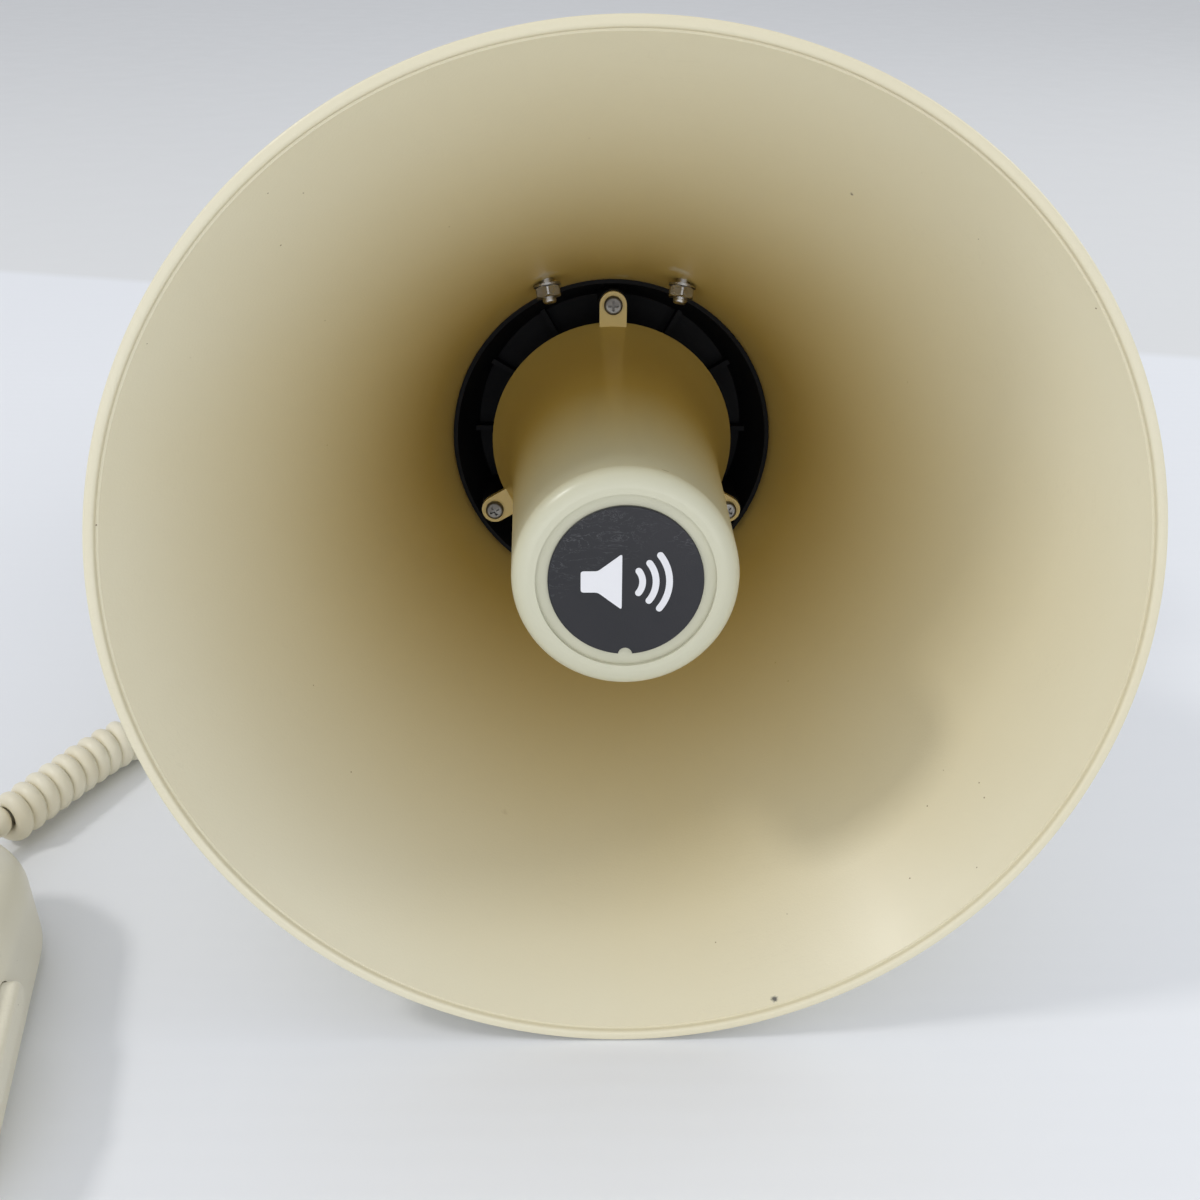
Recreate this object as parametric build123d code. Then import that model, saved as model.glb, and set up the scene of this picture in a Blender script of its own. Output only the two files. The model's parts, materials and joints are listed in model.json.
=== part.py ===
from build123d import *
from math import atan2, cos, degrees, exp, log, radians, sin, sqrt, tan
import os

# A shoulder-carried megaphone at rest on a table, with its hand microphone on a curly cord.
# Lengths are in millimetres. The horn unit is drawn in its own frame: the mouth of the bell is
# the plane y = 0, the horn's axis is +Y towards the rear, z is up and x is to the right as seen
# from in front. It is then tipped so that it stands on the rim of the bell and on the rear foot.
# The finished part has its origin under the middle of the rear foot, on the table, with +Z up.

# Fits
THREAD_FIT = 0.05          # a screw in its hole
RUNNING_FIT = 0.06         # a shaft in its bearing
SLIP = 0.3                 # pieces that pass each other

# Bell
RIM_RADIUS = 115.0         # outside of the rolled rim
LIP_WIDTH = 2.5            # flat front of the rim
LIP_STEP = 1.6             # depth of the step inside the rim
STEP_WIDTH = 0.5
BEAD_LENGTH = 5.0
BEAD_DRAFT = 0.9           # the bead narrows towards the rear, so it stands on its front edge
RIM_SOFT = 0.9             # rounding of the rim's edges
NECK_BORE = 50.0           # inside radius of the straight neck
BELL_WALL = 2.4
NECK_Y = 143.0             # mouth to neck
NECK_LENGTH = 15.5

# Throat bulkhead, which closes the neck
BULKHEAD_Y = NECK_Y + 1.5  # its front edge
BULKHEAD_RING = 1.3        # width of the front edge
FLOOR_Y = BULKHEAD_Y + 20.5    # front of its floor
FLOOR_THICK = 3.0
FLOOR_RADIUS = 43.0
RIB_COUNT = 12
RIB_THICK = 1.6
RIB_HEIGHT = 5.0
RIB_START = 19.0
THROAT_BORE = 10.2

# Reflector, the closed inner horn
REFLECTOR_FRONT_Y = 12.5
REFLECTOR_RADIUS = 25.6    # at the front
SKIRT_RADIUS = 37.4        # at the open rear edge
SKIRT_Y = NECK_Y - 2.0
REFLECTOR_WALL = 2.0
NOSE_ROUND = 4.0
RECESS_RADIUS = 20.3
RECESS_DEPTH = 1.2
LUG_CIRCLE = 42.8
LUG_WIDTH = 8.2
LUG_THICK = 2.4
BADGE_RADIUS = 17.5
BADGE_THICK = 1.0
TUBE_FRONT_Y = 40.0
TUBE_FRONT_RADIUS = 16.0
TUBE_WALL = 1.8
TUBE_FLANGE = 17.0

# Compression driver
PLATE_RADIUS = 36.0
FRONT_PLATE = 4.0
DIAPHRAGM = 0.5
DOME_RADIUS = 12.4
DOME_HEIGHT = 3.4
GASKET = 1.0
COIL_INNER = 12.8
COIL_OUTER = 13.6
COIL_LENGTH = 8.0
TOP_PLATE = 5.0
GAP_BORE = 14.2            # hole in the top plate round the coil
MAGNET_LENGTH = 12.0
MAGNET_RADIUS = 34.0
MAGNET_BORE = 18.0
YOKE_PLATE = 5.0
POLE_RADIUS = 12.2
COVER_WALL = 1.6
COVER_GAP = 4.5            # room behind the magnet
COVER_FLANGE = 48.5
COVER_SCREW_CIRCLE = 45.7

# Case
CASE_RADIUS = 53.0
CASE_WALL = 2.8
COLLAR_RADIUS = CASE_RADIUS + 3.0
COLLAR_Y = NECK_Y + 3.0
COLLAR_LENGTH = 14.0
COLLAR_TAPER = 15.0
BOARD_RADIUS = 44.0
BOARD_THICK = 1.6
BOARD_Y = COLLAR_Y + 70.0
PARTITION_Y = BOARD_Y + 10.0
PARTITION_THICK = 3.0
LEDGE_HEIGHT = 2.0
RAIL_WIDTH = 6.0

# Battery tray
CELL_RADIUS = 13.1         # size C
CELL_LENGTH = 50.0
CELL_GAP = 0.9             # half the gap between columns
TRAY_RADIUS = 46.0
TRAY_PLATE = 2.0
CONTACT_GAP = 3.0          # partition to tray
SPRING_ROOM = 2.5
STRIP = 0.5
LID_FLOOR = 4.0
LID_OVERHANG = 6.5         # cells beyond the end of the case
SEAL = 1.0
THUMBSCREW_RADIUS = 2.5
THUMBSCREW_HEIGHT = 42.0   # above the horn's axis
THUMB_KNOB_RADIUS = 8.0
THUMB_KNOB_LENGTH = 7.7
THUMB_BOSS_LENGTH = 12.0

# Rear foot
FOOT_DROP = CASE_RADIUS + 12.0     # axis to table, square to the axis
FOOT_WIDTH = 60.0
FOOT_LENGTH = 50.0
FOOT_FROM_END = 30.0       # middle of the foot to the end of the case
PAD_THICK = 3.0
PAD_INSET = 2.0
FOOT_SCREW_X = 16.0

# Carry handle
BOLT_X = 20.0
BOLT_Y = NECK_Y - 18.0
BOLT_LEAN = 10.0           # degrees, towards the horn's axis
BOLT_RAKE = 15.0           # degrees, towards the mouth
BOLT_RADIUS = 2.0
NUT_WIDTH = 7.0
NUT_HEIGHT = 3.2
WASHER_RADIUS = 4.0
WASHER = 0.6
SEAT_HEIGHT = 1.2
SEAT_RADIUS = 5.5
SADDLE_WIDTH = 58.0
SADDLE_LENGTH = 34.0
SADDLE_THICK = 6.5
GRIP_WIDTH = 26.0
GRIP_THICK = 18.0
FINGER_GAP = 35.0
HANDLE_FROM_END = 34.0     # rear leg to the end of the case
LEG_THICK = 24.0
SLEEVE_THICK = 2.0
SLEEVE_LENGTH = 100.0
REAR_SCREW_X = 19.0
REAR_PLATE_WIDTH = 52.0
REAR_PLATE_THICK = 7.0
RING_WIRE = 1.8
RING_RADIUS = 13.0
EYE_HOLE = 2.6
EYE_RADIUS = 6.0
EYE_THICK = 5.0

# Control pod on the left of the case
POD_DEPTH = 18.0           # beyond the case
POD_LENGTH = 70.0
POD_FROM_END = 24.0
POD_LOW = -24.0
POD_HIGH = 26.0
POD_WALL = 2.4
POD_ROUND = 6.0            # corners of its outline
POD_EDGE = 3.6             # edge of its face
POD_POST = 4.0
KNOB_RADIUS = 11.0
KNOB_LENGTH = 11.5
KNOB_SHAFT = 3.0
POT_RADIUS = 8.5
POT_DEPTH = 8.0
SLIDER_TRAVEL = 8.0
SLIDER_LENGTH = 6.0
SLIDER_WIDTH = 4.0
LAMP_RADIUS = 2.4
JACK_RADIUS = 4.8
JACK_BORE = 2.8
JACK_LENGTH = 12.0
GLAND_LENGTH = 22.0
GLAND_RADIUS = 5.2
GLAND_TIP = 3.6
GLAND_HEIGHT = -10.0
SOCKET_INSET = 8.4         # pod's face to the middle of the gland and of the jack
JACK_HEIGHT = -12.0

# Microphone stud bracket on the right of the case
BRACKET_Y = COLLAR_Y + 50.0
BRACKET_LENGTH = 30.0
BRACKET_HEIGHT = 22.0
BRACKET_THICK = 2.5
STUD_RADIUS = 2.5
STUD_HEAD = 5.0

# Pan-head screws, M3 and M2.5
M3_RADIUS = 1.5
M3_HEAD = 2.8
M3_HEAD_HEIGHT = 2.0
M3_LENGTH = 9.0
SMALL_RADIUS = 1.25
SMALL_HEAD = 2.3
SMALL_HEAD_HEIGHT = 1.7

# Hand microphone, lying face up
MIC_X = -172.95            # middle of the microphone on the table, from the part's origin
MIC_Y = -301.65
MIC_TURN = 10.55           # degrees about +Z
MIC_WIDTH = 56.0
MIC_TAIL = 46.5            # middle to the cord end
MIC_HEAD = 62.0            # middle to the head end
MIC_THICK = 34.0
MIC_SHOULDER = 17.0        # where the cord end starts to narrow
MIC_CORNER = 18.0
MIC_TOP_ROUND = 12.0
MIC_BOTTOM_ROUND = 7.0
MIC_WALL = 2.2
MIC_PARTING = 15.0
GRILLE_RADIUS = 15.0
GRILLE_THICK = 1.8
GRILLE_Y = -30.0
CAPSULE_RADIUS = 8.5
CAPSULE_DEPTH = 7.0
BAR_FRONT = -9.0           # talk bar, end nearest the cord
BAR_LENGTH = 34.0
BAR_HEIGHT = 8.0
BAR_Z = 21.0
BAR_PROUD = 3.4
BAR_TRAVEL = 2.2
BAR_FLANGE = 1.4
MIC_CORD_Z = 8.7
GROMMET_RADIUS = 4.6
KEYHOLE_Y = -22.0
MIC_POSTS = [(0, 30), (-15, -48), (15, -48)]

# Curly cord
CORD_RADIUS = 2.5
COIL_RADIUS = 7.25
BODY_TAIL_POINTS = [(-62.6, -75.8, 68.4), (-62.6, -82.7, 69.6)]
COIL_POINTS = [(-62.6, -82.7, 69.6), (-62.6, -98.5, 72.3), (-66.5, -114.0, 66.5),
               (-74.0, -127.0, 52.5), (-83.5, -138.0, 34.0), (-96.0, -148.5, 16.5),
               (-112.5, -160.0, 8.0), (-134.0, -173.5, 7.3), (-155.0, -190.5, 7.4),
               (-166.2, -213.4, 8.6), (-177.0, -235.0, 8.7)]
MIC_TAIL_POINTS = [(-177.0, -235.0, 8.7), (-183.1, -247.2, 8.7), (-180.3, -262.3, 8.7)]

# Worked out from the values above
MOUTH_RADIUS = RIM_RADIUS - LIP_WIDTH - STEP_WIDTH
FLARE = log(MOUTH_RADIUS / NECK_BORE) / (NECK_Y - LIP_STEP)
NECK_END = NECK_Y + NECK_LENGTH
FLOOR_END = FLOOR_Y + FLOOR_THICK
FIT_RADIUS = NECK_BORE - 0.1
CASE_BORE = CASE_RADIUS - CASE_WALL
PARTITION_END = PARTITION_Y + PARTITION_THICK
TRAY_Y = PARTITION_END + CONTACT_GAP
CELLS_Y = TRAY_Y + TRAY_PLATE + SPRING_ROOM
CELLS_END = CELLS_Y + 2 * CELL_LENGTH
REAR_PLATE_Y = CELLS_END + STRIP
LID_FLOOR_Y = REAR_PLATE_Y + TRAY_PLATE
LID_END = LID_FLOOR_Y + LID_FLOOR
CASE_END = CELLS_END - LID_OVERHANG
SEAL_Y = CASE_END + SLIP
LID_Y = SEAL_Y + SEAL
CELL_OFFSET = CELL_RADIUS + CELL_GAP
FOOT_Y = CASE_END - FOOT_FROM_END
TILT = degrees(atan2(RIM_RADIUS - FOOT_DROP, FOOT_Y - RIM_SOFT))
FRONT_PLATE_END = FLOOR_END + FRONT_PLATE
DIAPHRAGM_END = FRONT_PLATE_END + DIAPHRAGM
TOP_PLATE_Y = DIAPHRAGM_END + GASKET
MAGNET_Y = TOP_PLATE_Y + TOP_PLATE
YOKE_Y = MAGNET_Y + MAGNET_LENGTH
YOKE_END = YOKE_Y + YOKE_PLATE
COVER_RADIUS = PLATE_RADIUS + 4.0
COVER_END = YOKE_END + COVER_GAP
GRIP_LOW = CASE_RADIUS + FINGER_GAP
GRIP_HIGH = GRIP_LOW + GRIP_THICK
HANDLE_REAR = CASE_END - HANDLE_FROM_END
POD_END = CASE_END - POD_FROM_END
POD_Y = POD_END - POD_LENGTH
POD_FACE = -(CASE_RADIUS + POD_DEPTH)
POD_MIDDLE = (POD_Y + POD_END) / 2
KNOB_Y = POD_Y + 26.0
SLIDER_Y = POD_END - 24.0

BASE = (Align.CENTER, Align.CENTER, Align.MIN)
HANG = (Align.CENTER, Align.CENTER, Align.MAX)
HORN_PLACE = (Pos(0, -(FOOT_Y * cos(radians(TILT)) - FOOT_DROP * sin(radians(TILT))),
                  FOOT_Y * sin(radians(TILT)) + FOOT_DROP * cos(radians(TILT)))
              * Rot(X=-TILT))
MIC_PLACE = Pos(MIC_X, MIC_Y, 0) * Rot(Z=MIC_TURN)


# ---------------------------------------------------------------- helpers

def turned(*corners):
    # A closed outline of (radius, y) corners, turned about the horn's axis.
    return revolve(make_face(Polyline(*corners, close=True)), Axis.Y)


def turned_edges(edges):
    return revolve(make_face(Curve() + edges), Axis.Y)


def ring(inner, outer, y0, y1):
    return turned((inner, y0), (outer, y0), (outer, y1), (inner, y1))


def disc(radius, y0, y1):
    return turned((0, y0), (radius, y0), (radius, y1), (0, y1))


def at(point, direction):
    # Puts a shape drawn along +Z at a point, along a direction.
    return Plane(origin=point, z_dir=direction).location


def rod(point, direction, radius, length):
    return at(point, direction) * Cylinder(radius, length, align=BASE)


def block(low, high):
    size = [b - a for a, b in zip(low, high)]
    middle = [(a + b) / 2 for a, b in zip(low, high)]
    return Pos(*middle) * Box(*size)


def around(shape, *angles):
    # Copies of a shape turned about the horn's axis; 0 is the top, 90 is towards +X.
    return [Rot(Y=angle) * shape for angle in angles]


def group(shapes):
    # Separate solids that share one node.
    return Compound([solid for shape in shapes for solid in shape.solids()])


def pan_screw(radius, head, head_height, length):
    # Cross-recess pan head above z = 0, shank below.
    top = Cylinder(head, head_height, align=BASE)
    top = fillet(top.edges().group_by(Axis.Z)[-1], head_height * 0.45)
    slot = Pos(0, 0, head_height) * Box(head * 1.1, head * 0.26, head_height * 1.1)
    return top - slot - Rot(Z=90) * slot + Cylinder(radius, length, align=HANG)


def m3_screw(point, direction):
    return at(point, direction) * pan_screw(M3_RADIUS, M3_HEAD, M3_HEAD_HEIGHT, M3_LENGTH)


def m3_hole(point, direction, seat_depth):
    # Shank hole below the seat and a counterbore above it.
    shank = Cylinder(M3_RADIUS + THREAD_FIT, M3_LENGTH + THREAD_FIT, align=HANG)
    bore = Cylinder(M3_HEAD + SLIP, seat_depth, align=BASE)
    return at(point, direction) * (shank + bore)


# ---------------------------------------------------------------- bell and reflector

def flare_radius(y):
    # The bell's inside is an exponential horn.
    return NECK_BORE * exp(FLARE * (NECK_Y - y))


def bell_outside(y):
    # The wall is measured square to the surface.
    slope = FLARE * flare_radius(y)
    return flare_radius(y) + BELL_WALL * sqrt(1 + slope * slope)


def curve_points(radius_at, start, end, steps=6):
    stations = [start + (end - start) * i / steps for i in range(steps + 1)]
    return [(radius_at(y), y) for y in stations]


def bell_skin():
    # Everything inside the bell's outer surface, as a solid.
    outer = curve_points(bell_outside, BEAD_LENGTH, NECK_Y)
    neck = (NECK_BORE + BELL_WALL, NECK_Y)
    end = (NECK_BORE + BELL_WALL, NECK_END)
    return turned_edges([Line((0, BEAD_LENGTH), outer[0]), Spline(*outer), Line(outer[-1], neck),
                         Line(neck, end), Line(end, (0, NECK_END)),
                         Line((0, NECK_END), (0, BEAD_LENGTH))])


def bolt_plane(side):
    # On the middle of the bell's wall, z out along the bolt to its head.
    radius = flare_radius(BOLT_Y) + BELL_WALL / 2
    lean = (side * tan(radians(BOLT_LEAN)), tan(radians(BOLT_RAKE)), 1)
    return Plane(origin=(side * BOLT_X, BOLT_Y, sqrt(radius ** 2 - BOLT_X ** 2)), z_dir=lean).location


def bell_screw_places():
    return [((COLLAR_RADIUS * sin(radians(a)), COLLAR_Y + 6, COLLAR_RADIUS * cos(radians(a))),
             (sin(radians(a)), 0, cos(radians(a)))) for a in (45, 135, 225, 315)]


def horn_bell():
    inner = curve_points(flare_radius, NECK_Y, LIP_STEP)
    outer = curve_points(bell_outside, BEAD_LENGTH + 1, NECK_Y)
    lip_inner = RIM_RADIUS - LIP_WIDTH
    soft = RIM_SOFT
    corner = soft * (1 - sqrt(0.5))
    bead_end = (RIM_RADIUS - BEAD_DRAFT, BEAD_LENGTH)
    neck = (NECK_BORE + BELL_WALL, NECK_Y)
    edges = [
        Line((NECK_BORE, NECK_END), inner[0]), Spline(*inner),
        Line(inner[-1], (lip_inner, LIP_STEP)), Line((lip_inner, LIP_STEP), (lip_inner, soft)),
        ThreePointArc((lip_inner, soft), (lip_inner + corner, corner), (lip_inner + soft, 0)),
        Line((lip_inner + soft, 0), (RIM_RADIUS - soft, 0)),
        ThreePointArc((RIM_RADIUS - soft, 0), (RIM_RADIUS - corner, corner), (RIM_RADIUS, soft)),
        Line((RIM_RADIUS, soft), bead_end), Line(bead_end, outer[0]), Spline(*outer), Line(outer[-1], neck),
        Line(neck, (NECK_BORE + BELL_WALL, NECK_END)),
        Line((NECK_BORE + BELL_WALL, NECK_END), (NECK_BORE, NECK_END))]
    bell = turned_edges(edges)
    for side in (-1, 1):
        seat = Cylinder(SEAT_RADIUS, BELL_WALL / 2 + SEAT_HEIGHT, align=HANG)
        bell += bolt_plane(side) * seat
        bell -= bolt_plane(side) * Cylinder(BOLT_RADIUS + THREAD_FIT, 20)
    for point, direction in bell_screw_places():
        bell -= m3_hole(point, direction, 1)
    return bell


def skirt_radius(y):
    # Slender at the front, opening like a trumpet towards the rear edge.
    along = (y - REFLECTOR_FRONT_Y) / (SKIRT_Y - REFLECTOR_FRONT_Y)
    straight = REFLECTOR_RADIUS + 4.9 * along
    return straight + (SKIRT_RADIUS - REFLECTOR_RADIUS - 4.9) * along ** 7


def lug():
    tip = LUG_WIDTH / 2
    arm = block((-tip, SKIRT_Y - LUG_THICK, SKIRT_RADIUS - 3), (tip, SKIRT_Y, LUG_CIRCLE))
    return arm + rod((0, SKIRT_Y - LUG_THICK, LUG_CIRCLE), (0, 1, 0), tip, LUG_THICK)


def reflector_horn():
    front = REFLECTOR_FRONT_Y
    side = curve_points(skirt_radius, front + NOSE_ROUND, SKIRT_Y, 7)
    inside = [(r - REFLECTOR_WALL, y) for r, y in reversed(side)]
    shoulder = side[0][0] - NOSE_ROUND
    corner = NOSE_ROUND * (1 - sqrt(0.5))
    floor = front + RECESS_DEPTH + REFLECTOR_WALL
    lip = (side[-1][0] - REFLECTOR_WALL, SKIRT_Y)
    edges = [
        Line((0, front + RECESS_DEPTH), (RECESS_RADIUS, front + RECESS_DEPTH)),
        Line((RECESS_RADIUS, front + RECESS_DEPTH), (RECESS_RADIUS, front)),
        Line((RECESS_RADIUS, front), (shoulder, front)),
        ThreePointArc((shoulder, front), (side[0][0] - corner, front + corner), side[0]),
        Spline(*side), Line(side[-1], lip), Spline(*inside),
        Line(inside[-1], (inside[-1][0], floor)), Line((inside[-1][0], floor), (0, floor)),
        Line((0, floor), (0, front + RECESS_DEPTH))]
    body = turned_edges(edges)
    for arm in around(lug(), 0, 120, 240):
        body += arm
    hole = rod((0, SKIRT_Y - LUG_THICK - 1, LUG_CIRCLE), (0, 1, 0), M3_RADIUS + THREAD_FIT, LUG_THICK + 2)
    for cut in around(hole, 0, 120, 240):
        body -= cut
    return body


def badge_disc():
    # A half-round notch at the bottom lets the badge be prised out.
    y = REFLECTOR_FRONT_Y + RECESS_DEPTH
    badge = disc(BADGE_RADIUS, y - BADGE_THICK, y)
    edge = badge.edges().filter_by(GeomType.CIRCLE).group_by(Axis.Y)[0]
    badge = fillet(edge, BADGE_THICK * 0.3)
    return badge - rod((0, y - 2 * BADGE_THICK, -BADGE_RADIUS), (0, 1, 0), 1.6, 4 * BADGE_THICK)


def reflector_screws():
    screw = at((0, SKIRT_Y - LUG_THICK, LUG_CIRCLE), (0, -1, 0)) * pan_screw(
        M3_RADIUS, M3_HEAD, M3_HEAD_HEIGHT, M3_LENGTH)
    return group(around(screw, 0, 120, 240))


def throat_bulkhead():
    front_bore = FIT_RADIUS - BULKHEAD_RING
    wall = turned((front_bore, BULKHEAD_Y), (FIT_RADIUS, BULKHEAD_Y), (FIT_RADIUS, FLOOR_END),
                  (THROAT_BORE, FLOOR_END), (THROAT_BORE, FLOOR_Y), (FLOOR_RADIUS, FLOOR_Y))
    rib = block((-RIB_THICK / 2, FLOOR_Y - RIB_HEIGHT, RIB_START), (RIB_THICK / 2, FLOOR_Y, FLOOR_RADIUS + 1))
    boss = rod((0, SKIRT_Y, LUG_CIRCLE), (0, 1, 0), LUG_WIDTH / 2 + 0.4, FLOOR_Y - SKIRT_Y)
    for piece in around(rib, *[360 * i / RIB_COUNT for i in range(RIB_COUNT)]):
        wall += piece
    for piece in around(boss, 0, 120, 240):
        wall += piece
    pilot = rod((0, SKIRT_Y - 1, LUG_CIRCLE), (0, 1, 0), M3_RADIUS + THREAD_FIT, M3_LENGTH)
    for piece in around(pilot, 0, 120, 240):
        wall -= piece
    driver_hole = rod((0, FLOOR_END + 1, COVER_SCREW_CIRCLE), (0, -1, 0), SMALL_RADIUS + THREAD_FIT, 8)
    for piece in around(driver_hole, 60, 180, 300):
        wall -= piece
    for point, direction in bell_screw_places():
        wall -= m3_hole(point, direction, 1)
    return wall


def throat_tube():
    base = FLOOR_Y - 3.0
    base_outer = THROAT_BORE + TUBE_WALL
    return turned((TUBE_FRONT_RADIUS - TUBE_WALL, TUBE_FRONT_Y), (TUBE_FRONT_RADIUS, TUBE_FRONT_Y),
                  (base_outer, base), (TUBE_FLANGE, base), (TUBE_FLANGE, FLOOR_Y),
                  (THROAT_BORE, FLOOR_Y), (THROAT_BORE, base))


# ---------------------------------------------------------------- compression driver

def dome_arc(radius, y, height):
    # A shallow cap of a sphere, from its edge to the axis.
    sphere = (radius ** 2 + height ** 2) / (2 * height)
    half = radius / 2
    middle = y + height - sphere + sqrt(sphere ** 2 - half ** 2)
    return ThreePointArc((radius, y), (half, middle), (0, y + height))


def driver_front_plate():
    recess = FRONT_PLATE_END - 1.0
    rest = PLATE_RADIUS - 6.0
    return turned((THROAT_BORE, FLOOR_END), (PLATE_RADIUS, FLOOR_END), (PLATE_RADIUS, FRONT_PLATE_END),
                  (rest, FRONT_PLATE_END), (rest, recess), (THROAT_BORE + 1, recess), (THROAT_BORE, recess - 1))


def driver_diaphragm():
    front, back = FRONT_PLATE_END, DIAPHRAGM_END
    return turned_edges([
        dome_arc(DOME_RADIUS, front, DOME_HEIGHT),
        Line((0, front + DOME_HEIGHT), (0, back + DOME_HEIGHT)),
        dome_arc(DOME_RADIUS, back, DOME_HEIGHT),
        Line((DOME_RADIUS, back), (PLATE_RADIUS, back)), Line((PLATE_RADIUS, back), (PLATE_RADIUS, front)),
        Line((PLATE_RADIUS, front), (DOME_RADIUS, front))])


def driver_yoke():
    pole = DIAPHRAGM_END + DOME_HEIGHT + 2.0
    return turned((0, pole), (POLE_RADIUS, pole), (POLE_RADIUS, YOKE_Y), (PLATE_RADIUS, YOKE_Y),
                  (PLATE_RADIUS, YOKE_END), (0, YOKE_END))


def driver_cover():
    flange = 3.0
    inner = COVER_RADIUS - COVER_WALL
    cup = turned((inner, FLOOR_END), (COVER_FLANGE, FLOOR_END), (COVER_FLANGE, FLOOR_END + flange),
                 (COVER_RADIUS, FLOOR_END + flange), (COVER_RADIUS, COVER_END - 3),
                 (COVER_RADIUS - 3, COVER_END), (0, COVER_END), (0, COVER_END - COVER_WALL),
                 (inner - 2, COVER_END - COVER_WALL), (inner, COVER_END - COVER_WALL - 2))
    hole = rod((0, FLOOR_END - 1, COVER_SCREW_CIRCLE), (0, 1, 0), SMALL_RADIUS + THREAD_FIT, flange + 2)
    for piece in around(hole, 60, 180, 300):
        cup -= piece
    return cup


def driver_screws():
    screw = at((0, FLOOR_END + 3.0, COVER_SCREW_CIRCLE), (0, 1, 0)) * pan_screw(
        SMALL_RADIUS, SMALL_HEAD, SMALL_HEAD_HEIGHT, 9.5)
    return group(around(screw, 60, 180, 300))


# ---------------------------------------------------------------- case and electronics

def thumbscrew_boss():
    y = CASE_END - THUMB_BOSS_LENGTH
    post = rod((0, y, THUMBSCREW_HEIGHT), (0, 1, 0), THUMBSCREW_RADIUS + 3, THUMB_BOSS_LENGTH)
    web = block((-THUMBSCREW_RADIUS - 3, y, THUMBSCREW_HEIGHT), (THUMBSCREW_RADIUS + 3, CASE_END, CASE_BORE + 1))
    return (post + web) & disc(CASE_BORE + CASE_WALL / 2, y, CASE_END)


def tray_rail():
    # The tray's front plate slides on four of these.
    rail = block((-RAIL_WIDTH / 2, TRAY_Y, TRAY_RADIUS), (RAIL_WIDTH / 2, CASE_END, CASE_BORE + 1))
    return rail & ring(TRAY_RADIUS + SLIP, CASE_BORE + CASE_WALL / 2, TRAY_Y, CASE_END)


def case_screw_places():
    # Seat point and the way each head faces: handle, foot, microphone bracket and pod.
    top = CASE_RADIUS + 3.0
    low = -(CASE_RADIUS + 4.2)
    places = [((s * REAR_SCREW_X, HANDLE_REAR, top), (0, 0, 1)) for s in (-1, 1)]
    places += [((s * FOOT_SCREW_X, FOOT_Y, low), (0, 0, -1)) for s in (-1, 1)]
    side = CASE_RADIUS + BRACKET_THICK
    places += [((side, BRACKET_Y + s * 10, 0), (1, 0, 0)) for s in (-1, 1)]
    places += [((-CASE_BORE + 0.6, y, 1.0), (1, 0, 0)) for y in (POD_Y + 6.5, POD_END - 6.5)]
    return places


def cut_screws(shape, seat_depth=30.0):
    for point, direction in case_screw_places():
        shape -= m3_hole(point, direction, seat_depth)
    return shape


def case_screws():
    return group([m3_screw(point, direction) for point, direction in case_screw_places()])


def bell_screws():
    return group([m3_screw(point, direction) for point, direction in bell_screw_places()])


def main_case():
    collar_bore = NECK_BORE + BELL_WALL + 0.1
    shoulder = NECK_END + 0.5
    collar_end = COLLAR_Y + COLLAR_LENGTH
    shell = turned((collar_bore, COLLAR_Y), (COLLAR_RADIUS - 1, COLLAR_Y), (COLLAR_RADIUS, COLLAR_Y + 1),
                   (COLLAR_RADIUS, collar_end), (CASE_RADIUS, collar_end + COLLAR_TAPER),
                   (CASE_RADIUS, CASE_END), (CASE_BORE, CASE_END), (CASE_BORE, shoulder),
                   (collar_bore, shoulder))
    shell += ring(CASE_BORE - 2, CASE_BORE + 1, PARTITION_END, PARTITION_END + LEDGE_HEIGHT)
    shell += thumbscrew_boss()
    for rail in around(tray_rail(), 60, 145, 215, 300):
        shell += rail
    bore = THUMBSCREW_RADIUS + SLIP
    shell -= rod((0, CASE_END - THUMB_BOSS_LENGTH - 1, THUMBSCREW_HEIGHT), (0, 1, 0), bore, THUMB_BOSS_LENGTH + 2)
    shell -= rod((-CASE_BORE + 3, POD_MIDDLE, POD_LOW + 12), (-1, 0, 0), 5, CASE_WALL + 6)
    for point, direction in bell_screw_places():
        shell -= m3_hole(point, direction, 5)
    for point, direction in case_screw_places():
        shell -= m3_hole(point, direction, 8 if abs(point[0]) < CASE_BORE and point[2] == 1.0 else 1)
    return shell


def board_post_places():
    return [(38 * sin(radians(a)), 38 * cos(radians(a))) for a in (0, 120, 240)]


def amplifier_board():
    board = disc(BOARD_RADIUS, BOARD_Y, BOARD_Y + BOARD_THICK)
    for x, z in board_post_places():
        board -= rod((x, BOARD_Y - 1, z), (0, 1, 0), M3_RADIUS + THREAD_FIT, BOARD_THICK + 2)
    return board


def board_standoffs():
    # A hexagon post with a screw head riveted through the board and a stud in the partition.
    posts = []
    start = BOARD_Y + BOARD_THICK
    for x, z in board_post_places():
        hexagon = extrude(RegularPolygon(2.75, 6, major_radius=False), PARTITION_Y - start)
        stud = Pos(0, 0, BOARD_Y - start) * Cylinder(M3_RADIUS, PARTITION_END - BOARD_Y, align=BASE)
        head = Pos(0, 0, BOARD_Y - start) * Cylinder(M3_HEAD, 1.8, align=HANG)
        posts.append(at((x, start, z), (0, 1, 0)) * (hexagon + stud + head))
    return group(posts)


def output_transformer():
    front = BOARD_Y - 14
    core = block((-22, front, -28), (6, BOARD_Y, -20)) + block((-22, front, -12), (6, BOARD_Y, -4))
    core += block((-22, front, -28), (-15, BOARD_Y, -4)) + block((-1, front, -28), (6, BOARD_Y, -4))
    winding = block((-14.9, front + 1.5, -19.9), (-1.1, BOARD_Y - 1.5, -12.1))
    return core + winding + block((-22, BOARD_Y - 3, -28), (6, BOARD_Y, -4))


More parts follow.
